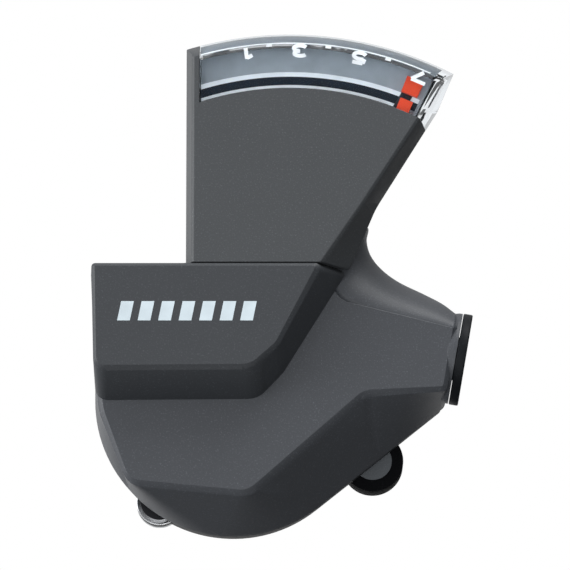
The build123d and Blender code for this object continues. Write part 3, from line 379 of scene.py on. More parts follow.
def moulded_grain_group() -> bpy.types.NodeTree:
    """Grain of a spark-eroded mould: fine cells for the height and slow clouds for the colour.

    Returns:
        A group that gives a height, a speckle mask and a cloud mask.
    """
    tree = node_group("moulded_grain", {"Cell Size": 0.3, "Cloud Size": 9.0},
                      {"Height": "NodeSocketFloat", "Speckle": "NodeSocketFloat",
                       "Cloud": "NodeSocketFloat"})
    source, sink = tree.nodes["in"], tree.nodes["out"]
    place = (tree.nodes.new("ShaderNodeTexCoord"), "Object")
    fine = sized_noise(tree, place, (source, "Cell Size"), *GRAIN_NOISE)
    cloud = sized_noise(tree, place, (source, "Cloud Size"), *CLOUD_NOISE)
    linked(tree, fine, (sink, "Height"))
    linked(tree, ranged(tree, fine, 0.0, 1.0, *SPECKLE_RANGE), (sink, "Speckle"))
    linked(tree, ranged(tree, cloud, 0.0, 1.0, *CLOUD_RANGE), (sink, "Cloud"))
    return tree


def brushed_group() -> bpy.types.NodeTree:
    """Fine scratches of rolled or turned metal: noise stretched along X, and a stain cloud.

    Returns:
        A group that gives a scratch height and a stain mask.
    """
    tree = node_group("brushed_metal", {"Scratch Size": 0.25},
                      {"Height": "NodeSocketFloat", "Stain": "NodeSocketFloat"})
    source, sink = tree.nodes["in"], tree.nodes["out"]
    place = tree.nodes.new("ShaderNodeTexCoord")
    stretch = tree.nodes.new("ShaderNodeMapping")
    stretch.inputs["Scale"].default_value = SCRATCH_STRETCH
    linked(tree, (place, "Object"), (stretch, "Vector"))
    scratch = sized_noise(tree, (stretch, "Vector"), (source, "Scratch Size"), *SCRATCH_NOISE)
    linked(tree, scratch, (sink, "Height"))
    stain = tree.nodes.new("ShaderNodeTexNoise")
    stain.inputs["Scale"].default_value = 1 / (STAIN_MM * MM)
    linked(tree, (place, "Object"), (stain, "Vector"))
    linked(tree, (stain, "Fac"), (sink, "Stain"))
    return tree


class Effects:
    """The shader groups, each built once and shared by the finishes."""

    def __init__(self) -> None:
        """Builds the groups."""
        self.grain = moulded_grain_group()
        self.brushed = brushed_group()


# --------------------------------------------------------------------------- finishes


def srgb(red: int, green: int, blue: int) -> tuple[float, float, float, float]:
    """Linear colour of an 8-bit sRGB value.

    Args:
        red: red from 0 to 255.
        green: green from 0 to 255.
        blue: blue from 0 to 255.

    Returns:
        Linear red, green, blue and an alpha of 1.
    """
    value = np.array([red, green, blue]) / 255
    linear = np.where(value <= 0.04045, value / 12.92, ((value + 0.055) / 1.055) ** 2.4)
    return (*linear.tolist(), 1.0)


def blank(name: str) -> tuple[bpy.types.Material, bpy.types.NodeTree, bpy.types.Node]:
    """Material with only its Principled shader.

    Args:
        name: the material's name.

    Returns:
        The material, its tree and its shader node.
    """
    material = bpy.data.materials.new(name)
    material.use_nodes = True
    tree = material.node_tree
    return material, tree, tree.nodes["Principled BSDF"]


def placed(tree: bpy.types.NodeTree, group: bpy.types.NodeTree, **values: float) -> bpy.types.Node:
    """Puts a shader group in a material.

    Args:
        tree: the material's tree.
        group: the group to place.
        values: input values, with underscores for spaces.

    Returns:
        The group's node.
    """
    node = tree.nodes.new("ShaderNodeGroup")
    node.node_tree = group
    for label, value in values.items():
        node.inputs[label.replace("_", " ")].default_value = value
    return node


def mixed(tree: bpy.types.NodeTree, mask: tuple, first: object, second: object,
          first_from: tuple | None = None) -> tuple[bpy.types.Node, str]:
    """Colour mix by a mask.

    Args:
        tree: the material's tree.
        mask: node and output of the mask.
        first: colour where the mask is 0.
        second: colour where the mask is 1.
        first_from: node and output that replace the first colour.

    Returns:
        The mix node and its output's name.
    """
    mix = tree.nodes.new("ShaderNodeMix")
    mix.data_type = "RGBA"
    mix.inputs[MIX_FIRST].default_value = first
    mix.inputs[MIX_SECOND].default_value = second
    linked(tree, mask, (mix, 0))
    if first_from:
        linked(tree, first_from, (mix, MIX_FIRST))
    return mix, MIX_RESULT


def bumped(tree: bpy.types.NodeTree, shader: bpy.types.Node, height: tuple, depth_mm: float,
           strength: float) -> None:
    """Gives a shader a bump.

    Args:
        tree: the material's tree.
        shader: the Principled shader.
        height: node and output of the height.
        depth_mm: the height's depth in millimetres.
        strength: bump strength from 0 to 1.
    """
    bump = tree.nodes.new("ShaderNodeBump")
    bump.inputs["Strength"].default_value = strength
    bump.inputs["Distance"].default_value = depth_mm * MM
    linked(tree, height, (bump, "Height"))
    linked(tree, (bump, "Normal"), (shader, "Normal"))


def shaded(colour: tuple, factor: float, lift: float = 0.0) -> tuple:
    """Darker or lighter copy of a linear colour: each channel times a factor plus a lift.

    Args:
        colour: linear red, green, blue and alpha.
        factor: what each channel is multiplied by.
        lift: what is added to each channel.

    Returns:
        The colour, at most 1 in each channel, with an alpha of 1.
    """
    return tuple(min(1.0, channel * factor + lift) for channel in colour[:3]) + (1.0,)


@dataclass(frozen=True)
class MouldedPlastic:
    """Satin plastic from a grained mould."""

    name: str
    colour: tuple
    roughness: float = 0.5
    specular: float = 0.35
    cell_mm: float = 0.26
    depth_mm: float = 0.03
    strength: float = 0.6
    cloud_mm: float = 9.0
    cloud_shade: float = 0.96
    speckle_shade: float = 1.75
    speckle_lift: float = 0.004
    roughness_spread: float = 0.01

    def build(self, effects: Effects) -> bpy.types.Material:
        """Material with grain and slow colour clouds.

        Args:
            effects: the shared shader groups.

        Returns:
            The material.
        """
        material, tree, shader = blank(self.name)
        grain = placed(tree, effects.grain, Cell_Size=self.cell_mm,
                       Cloud_Size=self.cloud_mm)
        dark = shaded(self.colour, self.cloud_shade)
        light = shaded(self.colour, self.speckle_shade, self.speckle_lift)
        base = mixed(tree, (grain, "Cloud"), self.colour, dark)
        specked = mixed(tree, (grain, "Speckle"), self.colour, light, base)
        linked(tree, specked, (shader, "Base Color"))
        rough = ranged(tree, (grain, "Cloud"), self.roughness - self.roughness_spread,
                       self.roughness + self.roughness_spread)
        linked(tree, rough, (shader, "Roughness"))
        shader.inputs["Specular IOR Level"].default_value = self.specular
        bumped(tree, shader, (grain, "Height"), self.depth_mm, self.strength)
        return material


@dataclass(frozen=True)
class WorkedMetal:
    """Plated, turned or anodised metal."""

    name: str
    colour: tuple
    stained: tuple
    roughness: float = 0.3
    metallic: float = 1.0
    scratch_mm: float = 0.25
    depth_mm: float = 0.01
    strength: float = 0.2
    roughness_factors: tuple[float, float] = (0.8, 1.3)

    def build(self, effects: Effects) -> bpy.types.Material:
        """Material with stretched scratches and faint stains.

        Args:
            effects: the shared shader groups.

        Returns:
            The material.
        """
        material, tree, shader = blank(self.name)
        brushed = placed(tree, effects.brushed, Scratch_Size=self.scratch_mm)
        base = mixed(tree, (brushed, "Stain"), self.colour, self.stained)
        linked(tree, base, (shader, "Base Color"))
        smooth, coarse = self.roughness_factors
        rough = ranged(tree, (brushed, "Stain"), self.roughness * smooth, self.roughness * coarse)
        linked(tree, rough, (shader, "Roughness"))
        shader.inputs["Metallic"].default_value = self.metallic
        bumped(tree, shader, (brushed, "Height"), self.depth_mm, self.strength)
        return material


@dataclass(frozen=True)
class ClearAcrylic:
    """Clear polished lens with a faint haze."""

    name: str
    tint: tuple
    roughness: float = 0.004
    index: float = 1.09
    cell_mm: float = 1.2
    cloud_mm: float = 5.0
    roughness_factors: tuple[float, float] = (0.5, 1.6)

    def build(self, effects: Effects) -> bpy.types.Material:
        """Glass with a slight cloud in its roughness.

        Args:
            effects: the shared shader groups.

        Returns:
            The material.
        """
        material, tree, shader = blank(self.name)
        grain = placed(tree, effects.grain, Cell_Size=self.cell_mm,
                       Cloud_Size=self.cloud_mm)
        smooth, coarse = self.roughness_factors
        rough = ranged(tree, (grain, "Cloud"), self.roughness * smooth, self.roughness * coarse)
        linked(tree, rough, (shader, "Roughness"))
        shader.inputs["Base Color"].default_value = self.tint
        shader.inputs["Transmission Weight"].default_value = 1.0
        shader.inputs["IOR"].default_value = self.index
        return material


@dataclass(frozen=True)
class PrintedInk:
    """Opaque ink or gloss moulding with a slight mottle; where glow is set it also has a painted
    glow, emitting light of its own colour though it is no lamp.
    """

    name: str
    colour: tuple
    roughness: float = 0.35
    glow: float = 0.0
    cell_mm: float = 0.2
    cloud_mm: float = 3.0
    cloud_shade: float = 0.86
    depth_mm: float = 0.005
    strength: float = 0.2

    def build(self, effects: Effects) -> bpy.types.Material:
        """Plain bright finish whose colour varies a little, with a painted glow of the same colour
        when glow is set.

        Args:
            effects: the shared shader groups.

        Returns:
            The material.
        """
        material, tree, shader = blank(self.name)
        grain = placed(tree, effects.grain, Cell_Size=self.cell_mm,
                       Cloud_Size=self.cloud_mm)
        dark = shaded(self.colour, self.cloud_shade)
        base = mixed(tree, (grain, "Cloud"), self.colour, dark)
        linked(tree, base, (shader, "Base Color"))
        shader.inputs["Roughness"].default_value = self.roughness
        # Painted glow: the finish emits light of its own colour, though it is no lamp.
        if self.glow:
            linked(tree, base, (shader, "Emission Color"))
            shader.inputs["Emission Strength"].default_value = self.glow
        bumped(tree, shader, (grain, "Height"), self.depth_mm, self.strength)
        return material


COVER_BLACK = MouldedPlastic("cover_black", srgb(66, 69, 74))
PLATE_BLACK = MouldedPlastic("plate_black", srgb(56, 59, 63))
CASE_BLACK = MouldedPlastic("case_black", srgb(66, 69, 72))
BASE_BLACK = MouldedPlastic("base_black", srgb(44, 46, 49), roughness=0.58)
COLLAR_BLACK = MouldedPlastic("collar_black", srgb(20, 23, 26), roughness=0.5, specular=0.1)
INSET_GREY = MouldedPlastic("inset_grey", srgb(92, 97, 102), cell_mm=0.2)
PAD_RUBBER = MouldedPlastic("pad_rubber", srgb(13, 14, 17), roughness=0.72, specular=0.06,
                            cell_mm=0.22, strength=0.5)
NATURAL_NYLON = MouldedPlastic("natural_nylon", srgb(214, 208, 192),
                               roughness=0.42, strength=0.12)
ZINC_STEEL = WorkedMetal("zinc_steel", srgb(188, 191, 194), srgb(158, 161, 166))
BLACK_STEEL = WorkedMetal("black_steel", srgb(52, 53, 56), srgb(36, 37, 40), roughness=0.38)
POLISHED_STEEL = WorkedMetal("polished_steel", srgb(222, 224, 226), srgb(200, 203, 208),
                             roughness=0.14, strength=0.08)
SPRING_WIRE = WorkedMetal("spring_wire", srgb(150, 152, 156), srgb(118, 120, 124), roughness=0.26)
CLAMP_ALLOY = WorkedMetal("clamp_alloy", srgb(70, 72, 76), srgb(54, 56, 60), roughness=0.42)
BARREL_ALLOY = WorkedMetal("barrel_alloy", srgb(60, 61, 64), srgb(46, 47, 50), roughness=0.34)
TURNED_BRASS = WorkedMetal("turned_brass", srgb(206, 170, 96), srgb(176, 138, 74), roughness=0.24)
CLEAR_LENS = ClearAcrylic("clear_lens", (0.87, 0.905, 0.935, 1.0))
DIAL_GREY = PrintedInk("dial_grey", srgb(186, 195, 203))
# Grey of the painted shade inside the lens's outer wall.
WALL_SHADE_GREY = PrintedInk("wall_shade_grey", srgb(118, 127, 135), roughness=0.4)
# White of the printed digits, ticks and line, with a painted glow; the dial's white band of
# painted reflection uses it too.
WHITE_PRINT_AND_PAINTED_REFLECTION = PrintedInk("white_print_and_painted_reflection", srgb(240, 243, 245), glow=0.25)
# Navy and silver of the painted reflection on the dial, which stands in for the lens's front bevel
# reflecting its surroundings; the silver also has a painted glow.
NAVY_PAINTED_REFLECTION = PrintedInk("painted_reflection_navy", srgb(30, 42, 56), roughness=0.15)
SILVER_PAINTED_REFLECTION = PrintedInk("painted_reflection_silver", srgb(238, 243, 247), roughness=0.2, glow=0.35)
# The needle's orange has a painted glow: it emits light though it is no lamp. The lower of
# needle_flag's two orange blocks is a painted image of the needle seen through the lens's front
# bevel.
NEEDLE_ORANGE = PrintedInk("needle_orange", srgb(243, 76, 40), glow=0.18)
NEEDLE_ARM = PrintedInk("needle_arm_dark", srgb(34, 44, 56), roughness=0.35)
MARK_ICE = PrintedInk("mark_ice", srgb(206, 220, 228), roughness=0.5)

NODE_FINISHES: dict[object, tuple[str, ...]] = {
    COVER_BLACK: ("main_cover",),
    PLATE_BLACK: ("name_plate",),
    CASE_BLACK: ("indicator_case_upper", "indicator_case_lower"),
    BASE_BLACK: ("base_housing",),
    COLLAR_BLACK: ("adjuster_collar",),
    INSET_GREY: ("release_pad_inset",),
    PAD_RUBBER: ("main_lever_pad", "release_lever_pad"),
    NATURAL_NYLON: ("lever_washers", "cable_spool", "indicator_pinion"),
    ZINC_STEEL: ("bottom_plate", "clamp_nut", "main_axle", "axle_nut", "feed_ratchet",
                 "hold_ratchet", "drive_post", "lever_drive_plate", "feed_pawl", "hold_pawl"),
    BLACK_STEEL: ("clamp_bolt", "clamp_foot_screws", "base_screw", "cover_screws",
                  "main_lever", "release_lever"),
    POLISHED_STEEL: ("base_screw_washer", "axle_washer", "needle_pivot_pin", "hold_pawl_pin",
                     "feed_pawl_pin"),
    SPRING_WIRE: ("lever_return_spring", "spool_return_spring", "feed_pawl_spring",
                  "hold_pawl_spring"),
    CLAMP_ALLOY: ("clamp_band",),
    BARREL_ALLOY: ("barrel_adjuster",),
    TURNED_BRASS: ("adjuster_insert", "cable_stop_bush"),
    CLEAR_LENS: ("indicator_window",),
    DIAL_GREY: ("dial_plate",),
    NEEDLE_ORANGE: ("needle_flag",),
    NEEDLE_ARM: ("needle_arm",),
}


class Paint:
    """Builds each finish once and puts it on objects."""

    def __init__(self) -> None:
        """Builds the shared groups."""
        self.effects = Effects()
        self.made: dict[str, bpy.types.Material] = {}

    def put(self, obj: bpy.types.Object, finish: object) -> None:
        """Gives an object one finish.

        Args:
            obj: the object.
            finish: one of the finish dataclasses.
        """
        if finish.name not in self.made:
            self.made[finish.name] = finish.build(self.effects)
        obj.data.materials.clear()
        obj.data.materials.append(self.made[finish.name])


# --------------------------------------------------------------------------- sub-assemblies


@dataclass
class SoftEdges:
    """Welds a carried-over node's surface and rounds its hard edges."""

    widths_mm: dict[str, float] = field(default_factory=lambda: {
        "main_cover": 0.32, "name_plate": 0.3, "indicator_case_upper": 0.22,
        "indicator_window": 0.16, "base_housing": 0.18, "adjuster_collar": 0.22,
        "main_lever": 0.25, "release_lever": 0.22, "main_lever_pad": 0.5,
        "release_lever_pad": 0.7, "clamp_band": 0.35, "bottom_plate": 0.15,
        "base_screw": 0.15, "base_screw_washer": 0.1, "clamp_bolt": 0.2,
        "axle_nut": 0.15, "clamp_nut": 0.15,
    })
    limit_deg: float = 32.0
    flat_deg: float = 0.6
    segments: int = 3

    def apply(self, nodes: dict[str, bpy.types.Object]) -> None:
        """Adds a weld, a merge of flat triangles and a bevel to each listed node.

        Args:
            nodes: the carried-over nodes by name.
        """
        for name, width in self.widths_mm.items():
            obj = nodes[name]
            weld = obj.modifiers.new("weld", "WELD")
            weld.merge_threshold = WELD_M
            flat = obj.modifiers.new("flat_faces", "DECIMATE")
            flat.decimate_type = "DISSOLVE"
            flat.angle_limit = math.radians(self.flat_deg)
            bevel = obj.modifiers.new("soft_edge", "BEVEL")
            bevel.width = width * MM
            bevel.segments = self.segments
            bevel.limit_method = "ANGLE"
            bevel.angle_limit = math.radians(self.limit_deg)
            bevel.harden_normals = True
            log.info("soft edges on %s", name)


class Digit(Enum):
    """Gear numbers that the dial shows, as strokes in a unit box.

    Each stroke is either a pair of points or (centre x, centre y, radius x, radius y, from, to).
    """

    ONE = (1, (((0.5, 1.0), (0.5, 0.0)), ((0.2, 0.72), (0.5, 0.93))))
    THREE = (3, ((0.46, 0.74, 0.3, 0.22, 155, -90), (0.46, 0.28, 0.33, 0.25, 90, -155)))
    FIVE = (5, (((0.8, 0.95), (0.26, 0.95)), ((0.26, 0.95), (0.2, 0.52)),
                (0.46, 0.32, 0.33, 0.29, 130, -150)))
    SEVEN = (7, (((0.1, 0.94), (0.86, 0.94)), ((0.86, 0.94), (0.38, 0.0))))

    @property
    def gear(self) -> int:
        """The gear's number."""
        return self.value[0]

    @property
    def strokes(self) -> tuple:
        """The digit's strokes."""
        return self.value[1]


@dataclass
class GearDial:
    """Marks of the gear window: digits, ticks and line printed in the lens; on the dial a grey
    scale band, and white, navy and silver bands that are a painted reflection of the lens's front
    bevel; and a grey cone of painted shade inside the lens's outer wall.
    """

    digit_radius_mm: float = 51.72
    digit_height_mm: float = 1.8
    digit_width_mm: float = 3.1
    stroke_mm: float = 0.62
    tick_radius_mm: tuple[float, float] = (52.45, 52.9)
    tick_half_deg: float = 0.5
    line_radius_mm: tuple[float, float] = (52.86, 53.04)
    scale_radius_mm: tuple[float, float] = (49.1, 53.25)
    # The silver, navy and white bands are a painted reflection: stripes on the dial that stand in
    # for the lens's front bevel reflecting its surroundings.
    silver_reflection_radius_mm: tuple[float, float] = (48.35, 49.1)
    navy_reflection_radius_mm: tuple[float, float] = (47.0, 48.35)
    white_reflection_radius_mm: tuple[float, float] = (46.35, 46.95)
    # Radius and offset in mm of the low and high edge of a grey cone of painted shade inside the
    # lens's outer wall.
    wall_shade_low_mm: tuple[float, float] = (55.2, 0.3)
    wall_shade_high_mm: tuple[float, float] = (52.9, 0.5)
    start_deg: float = 65.0
    wall_shade_start_deg: float = 64.0
    white_reflection_start_deg: float = 68.4
    gear_degs: tuple[float, ...] = (97.7, 93.6, 88.3, 83.3, 77.7, 72.7, 66.45)
    left_inset_mm: float = 0.2
    ink_mm: float = 0.03
    print_depth_mm: float = 0.14
    wall_shade_mm: float = 0.06
    ticked_gears: tuple[int, ...] = (2, 4, 6)
    arc_stations: int = 80
    straight_stations: int = 4
    curve_stations: int = 22

    def __post_init__(self) -> None:
        """Finds the dial's centre, its top, and the lens's left side, base and top."""
        self.centre = joint_point("needle_swing")[:2]
        self.top = low_high("dial_plate")[1][2]
        low, high = low_high("indicator_window")
        self.left = low[0] + self.left_inset_mm * MM
        self.lens_low, self.lens_top = low[2], high[2]
        self.print_level = self.lens_top - self.print_depth_mm * MM

    def gear_deg(self, gear: int) -> float:
        """Angle of a gear's mark about the needle's pivot."""
        return self.gear_degs[gear - 1]

    def left_deg(self, radius: float) -> float:
        """Angle at which an arc of this radius, in metres, meets the lens's straight left side."""
        return math.degrees(math.acos((self.left - self.centre[0]) / radius))

    def band(self, radii: tuple[float, float], start: float, stop: float | None,
             level: float) -> tuple:
        """Arc ribbon: plan points at two radii over a sweep of angles.

        Args:
            radii: inner and outer radius in millimetres.
            start: first angle in degrees.
            stop: last angle in degrees, or None to end on the lens's left side.
            level: level of its underside in metres.

        Returns:
            Points and faces.
        """
        edges = []
        for radius in radii[::-1]:
            end = self.left_deg(radius * MM) if stop is None else stop
            edges.append(polar(self.centre, radius * MM,
                               np.linspace(start, end, self.arc_stations)))
        return slab(np.stack(edges, 1), level, level + self.ink_mm * MM)

    def wall_shade(self) -> tuple:
        """Painted shade inside the lens's outer wall: a thin grey cone between two radii and
        levels that darkens the clear wall.

        Returns:
            Points and faces.
        """
        sides = []
        for radius, level in ((self.wall_shade_low_mm[0], self.lens_low + self.wall_shade_low_mm[1] * MM),
                              (self.wall_shade_high_mm[0],
                               self.lens_top - self.wall_shade_high_mm[1] * MM)):
            for inset in (0.0, self.wall_shade_mm):
                edge = (radius - inset) * MM
                plan = polar(self.centre, edge, np.linspace(self.wall_shade_start_deg,
                                                            self.left_deg(edge),
                                                            self.arc_stations))
                sides.append(np.column_stack([plan, np.full(len(plan), level)]))
        section = np.stack([sides[0], sides[2], sides[3], sides[1]], 1)
        return section.reshape(-1, 3), capped_faces(len(section), 4)

    def stroke_path(self, stroke: tuple) -> np.ndarray:
        """Middle line of a stroke in the unit box.

        Args:
            stroke: two points, or an elliptic arc.

        Returns:
            Points along it.
        """
        if len(stroke) == 2:
            first, second = np.array(stroke, float)
            return np.linspace(first, second, self.straight_stations)
        x, y, rx, ry, start, stop = stroke
        angle = np.radians(np.linspace(start, stop, self.curve_stations))
        return np.stack([x + rx * np.cos(angle), y + ry * np.sin(angle)], 1)

    def digit(self, digit: Digit) -> list:
        """Ribbons of one digit, whose top points at the needle's pivot.

        Args:
            digit: which digit.

        Returns:
            Pairs of points and faces.
        """
        angle = math.radians(self.gear_deg(digit.gear))
        up = -np.array([math.cos(angle), math.sin(angle)])
        right = np.array([up[1], -up[0]])
        middle = self.centre + self.digit_radius_mm * MM * -up
        made = []
        for layer, stroke in enumerate(digit.strokes):
            path = self.stroke_path(stroke) - 0.5
            line = (middle + path[:, :1] * self.digit_width_mm * MM * right
                    + path[:, 1:] * self.digit_height_mm * MM * up)
            tangent = np.gradient(line, axis=0)
            tangent /= np.linalg.norm(tangent, axis=1, keepdims=True)
            side = np.stack([-tangent[:, 1], tangent[:, 0]], 1) * self.stroke_mm * MM / 2
            low = self.print_level + self.ink_mm * MM * layer
            made.append(slab(np.stack([line + side, line - side], 1), low, low + self.ink_mm * MM))
        return made

    def build(self, paint: Paint) -> None:
        """Builds and dresses the printed marks, the dial's bands of painted reflection and the
        cone of painted shade.

        Args:
            paint: the finishes.
        """
        ink = self.ink_mm * MM
        printed = [self.band(self.line_radius_mm, self.start_deg, None, self.print_level)]
        printed += [self.band(self.tick_radius_mm, self.gear_deg(gear) - self.tick_half_deg,
                              self.gear_deg(gear) + self.tick_half_deg, self.print_level)
                    for gear in self.ticked_gears]
        for digit in Digit:
            printed += self.digit(digit)
        scale = [self.band(self.scale_radius_mm, self.start_deg, None, self.top)]
        # Silver, navy and white bands of painted reflection, standing in for the lens's front
        # bevel.
        silver = [self.band(self.silver_reflection_radius_mm, self.start_deg, None, self.top)]
        navy = [self.band(self.navy_reflection_radius_mm, self.start_deg, None, self.top)]
        white = [self.band(self.white_reflection_radius_mm, self.white_reflection_start_deg, None, self.top + ink)]
        # The white print, the bands of painted reflection and the cone of painted shade, each a
        # piece of its own.
        for name, parts, finish in (("lens_white_print", printed, WHITE_PRINT_AND_PAINTED_REFLECTION),
                                    ("dial_wall_shade", [self.wall_shade()], WALL_SHADE_GREY),
                                    ("dial_scale_print", scale, DIAL_GREY),
                                    ("dial_white_reflection", white, WHITE_PRINT_AND_PAINTED_REFLECTION),
                                    ("dial_silver_reflection", silver, SILVER_PAINTED_REFLECTION),
                                    ("dial_navy_reflection", navy, NAVY_PAINTED_REFLECTION)):
            piece = outward(mesh_object(name, *joined(parts), smooth=False))
            paint.put(piece, finish)
            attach(piece, "housing")
            log.info("built %s", name)


@dataclass
class PlateMark:
    """Generic printed mark on the name plate: seven pale slanted bars, one for each gear."""

    bars: int = 7
    width_mm: float = 22.6
    height_mm: float = 3.1
    slant: float = 0.2
    ink_mm: float = 0.03
    from_left_mm: float = 4.4
    from_rear_mm: float = 7.9
    bar_share: float = 0.62
    stations: int = 3

    def build(self, paint: Paint) -> None:
        """Builds and dresses the bars.

        Args:
            paint: the finishes.
        """
        low, high = low_high("name_plate")
        pitch = self.width_mm / self.bars
        parts = []
        for number in range(self.bars):
            x = low[0] + (self.from_left_mm + pitch * number) * MM
            y = high[1] - self.from_rear_mm * MM
            height = self.height_mm * MM
            station = np.linspace(0, 1, self.stations)
            left = np.stack([x + self.slant * height * station,
                             y - height / 2 + height * station], 1)
            right = left + np.array([pitch * self.bar_share * MM, 0])
            parts.append(slab(np.stack([left, right], 1), high[2], high[2] + self.ink_mm * MM))
        piece = outward(mesh_object("name_plate_bars", *joined(parts), smooth=False))
        paint.put(piece, MARK_ICE)
        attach(piece, "housing")
        log.info("built name_plate_bars")


@dataclass
class CoverFairing:
    """Swept blend that fills the cover's hollow between the neck and the cable boss."""

    inner_mm: tuple = ((10.6, -21.2), (11.6, -23.2), (13.0, -25.2), (17.0, -26.9),
                       (20.0, -27.7), (24.0, -28.6), (27.5, -29.3), (30.6, -30.0))
    outer_mm: tuple = ((17.2, -10.8), (16.9, -12.8), (17.6, -15.4), (19.5, -17.9),
                       (22.3, -20.0), (26.0, -21.9), (29.0, -23.6), (31.2, -25.5))
    stations: int = 60
    steps: int = 18
    sink_mm: float = 0.03

    def build(self, paint: Paint) -> None:
        """Builds the blend.

        Across it the plan runs evenly from the inner curve to the outer one, while the level
        follows a quarter of an ellipse, flat at the cover's face and upright at its rim.

        Args:
            paint: the finishes.
        """
        high = low_high("main_cover")[1][2]
        inner = smooth_path(self.inner_mm, self.stations)[:, None] * MM
        outer = smooth_path(self.outer_mm, self.stations)[:, None] * MM
        turn = np.linspace(0, np.pi / 2, self.steps)
        share = np.sin(turn)[None, :, None]
        plan = inner + (outer - inner) * share
        level = np.broadcast_to((high - self.sink_mm * MM) * np.cos(turn), plan.shape[:2])
        top = np.concatenate([plan, level[..., None]], 2)
        foot = np.concatenate([inner, np.zeros_like(inner[..., :1])], 2)
        ring = np.concatenate([top, foot], 1)
        faces = capped_faces(self.stations, self.steps + 1)
        piece = outward(mesh_object("cover_fairing", ring.reshape(-1, 3), faces, True))
        paint.put(piece, COVER_BLACK)
        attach(piece, "housing")
        log.info("built %s", piece.name)


@dataclass
class MouthRim:
    """Flared mouth of the cover behind the adjuster's collar."""

    profile_mm: tuple = ((-4.2, 6.5), (-2.9, 7.1), (-2.1, 7.28), (-1.62, 7.28), (-1.62, 5.0),
                         (-4.2, 5.0))
    sides: int = 96

    def build(self, paint: Paint) -> None:
        """Turns the profile round the cable's axis.

        Each point of the profile has a distance along the axis and a radius, and the surface
        is that radius times the cosine and sine of the turn.

        Args:
            paint: the finishes.
        """
        axis = joint_axis("adjuster_turn")
        mouth = joint_point("adjuster_turn")
        side = np.cross(axis, UP)
        profile = np.array(self.profile_mm) * MM
        turn = np.linspace(0, 2 * np.pi, self.sides, endpoint=False)
        spoke = np.cos(turn)[:, None] * side + np.sin(turn)[:, None] * UP
        ring = mouth + profile[None, :, :1] * axis + profile[None, :, 1:] * spoke[:, None]
        faces = grid_faces(self.sides, len(profile), True, True)
        piece = outward(mesh_object("cover_mouth_rim", ring.reshape(-1, 3), faces, False))
        paint.put(piece, COVER_BLACK)
        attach(piece, "housing")
        log.info("built %s", piece.name)


@dataclass
class CoilSpring:
    """Helix of wire that stands for a plain sleeve of the frame."""

    node: str
    body: str
    turns: float
    wire_mm: float
    steps: int = 26
    flat_turns: float = 0.4

    def build(self, paint: Paint) -> None:
        """Builds the coil inside the sleeve's own box.

        The middle line is a circle whose height grows evenly with the angle, and stays flat
        for part of a turn at each end.

        Args:
            paint: the finishes.
        """
        low, high = low_high(self.node)
        centre = (low + high) / 2
        radius = (high[0] - low[0]) / 2 - self.wire_mm * MM / 2
        angle = np.linspace(0, 2 * np.pi * self.turns, int(self.turns * self.steps))
        share = np.clip((angle / (2 * np.pi) - self.flat_turns)
                        / (self.turns - 2 * self.flat_turns), 0, 1)
        bottom, top = low[2] + self.wire_mm * MM / 2, high[2] - self.wire_mm * MM / 2
        path = np.column_stack([polar(centre, radius, np.degrees(angle)),
                                bottom + (top - bottom) * share])
        piece = outward(mesh_object(self.node + "_coil", *tube(path, self.wire_mm * MM / 2), True))
        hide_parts(self.node)
        paint.put(piece, SPRING_WIRE)
        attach(piece, self.body)
        log.info("built %s", piece.name)


@dataclass
class PadRidges:
    """Raised thumb ridges on the face of the main lever's pad."""

    count: int = 7
    length_mm: float = 8.0
    ridge_mm: float = 0.42
    rise_mm: float = 0.3
    pitch_mm: float = 1.25
    face_mm: float = 1.7
    root_mm: float = 0.3
    from_foot_mm: float = 1.2
    stations: int = 9

    def build(self, paint: Paint) -> None:
        """Builds upright half-round ridges spread along the pad.

        Each ridge is a half circle carried straight up, so its plan is a sine bump.

        Args:
            paint: the finishes.
        """
        low, high = low_high("main_lever_pad")
        pivot = joint_point("main_lever_push")[:2]
        middle = (low[:2] + high[:2]) / 2
        reach = np.linalg.norm(middle - pivot)
        along = (middle - pivot) / reach
        across = np.array([along[1], -along[0]])
        face = middle + across * self.face_mm * MM
        foot_level = low[2] + self.from_foot_mm * MM
        parts = []
        for number in range(self.count):
            offset = (number - (self.count - 1) / 2) * self.pitch_mm * MM
            foot = face + along * offset
            turn = np.linspace(0, np.pi, self.stations)
            bump = (foot + np.outer(np.cos(turn), along) * self.ridge_mm * MM
                    + np.outer(np.sin(turn), across) * self.rise_mm * MM)
            back = (foot - across * self.root_mm * MM
                    + np.outer(np.cos(turn), along) * self.ridge_mm * MM)
            plan = np.stack([bump, back], 1)
            parts.append(slab(plan, foot_level, foot_level + self.length_mm * MM))
        piece = outward(mesh_object("main_lever_pad_ridges", *joined(parts), smooth=False))
        paint.put(piece, PAD_RUBBER)
        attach(piece, "main_lever")
        log.info("built %s", piece.name)


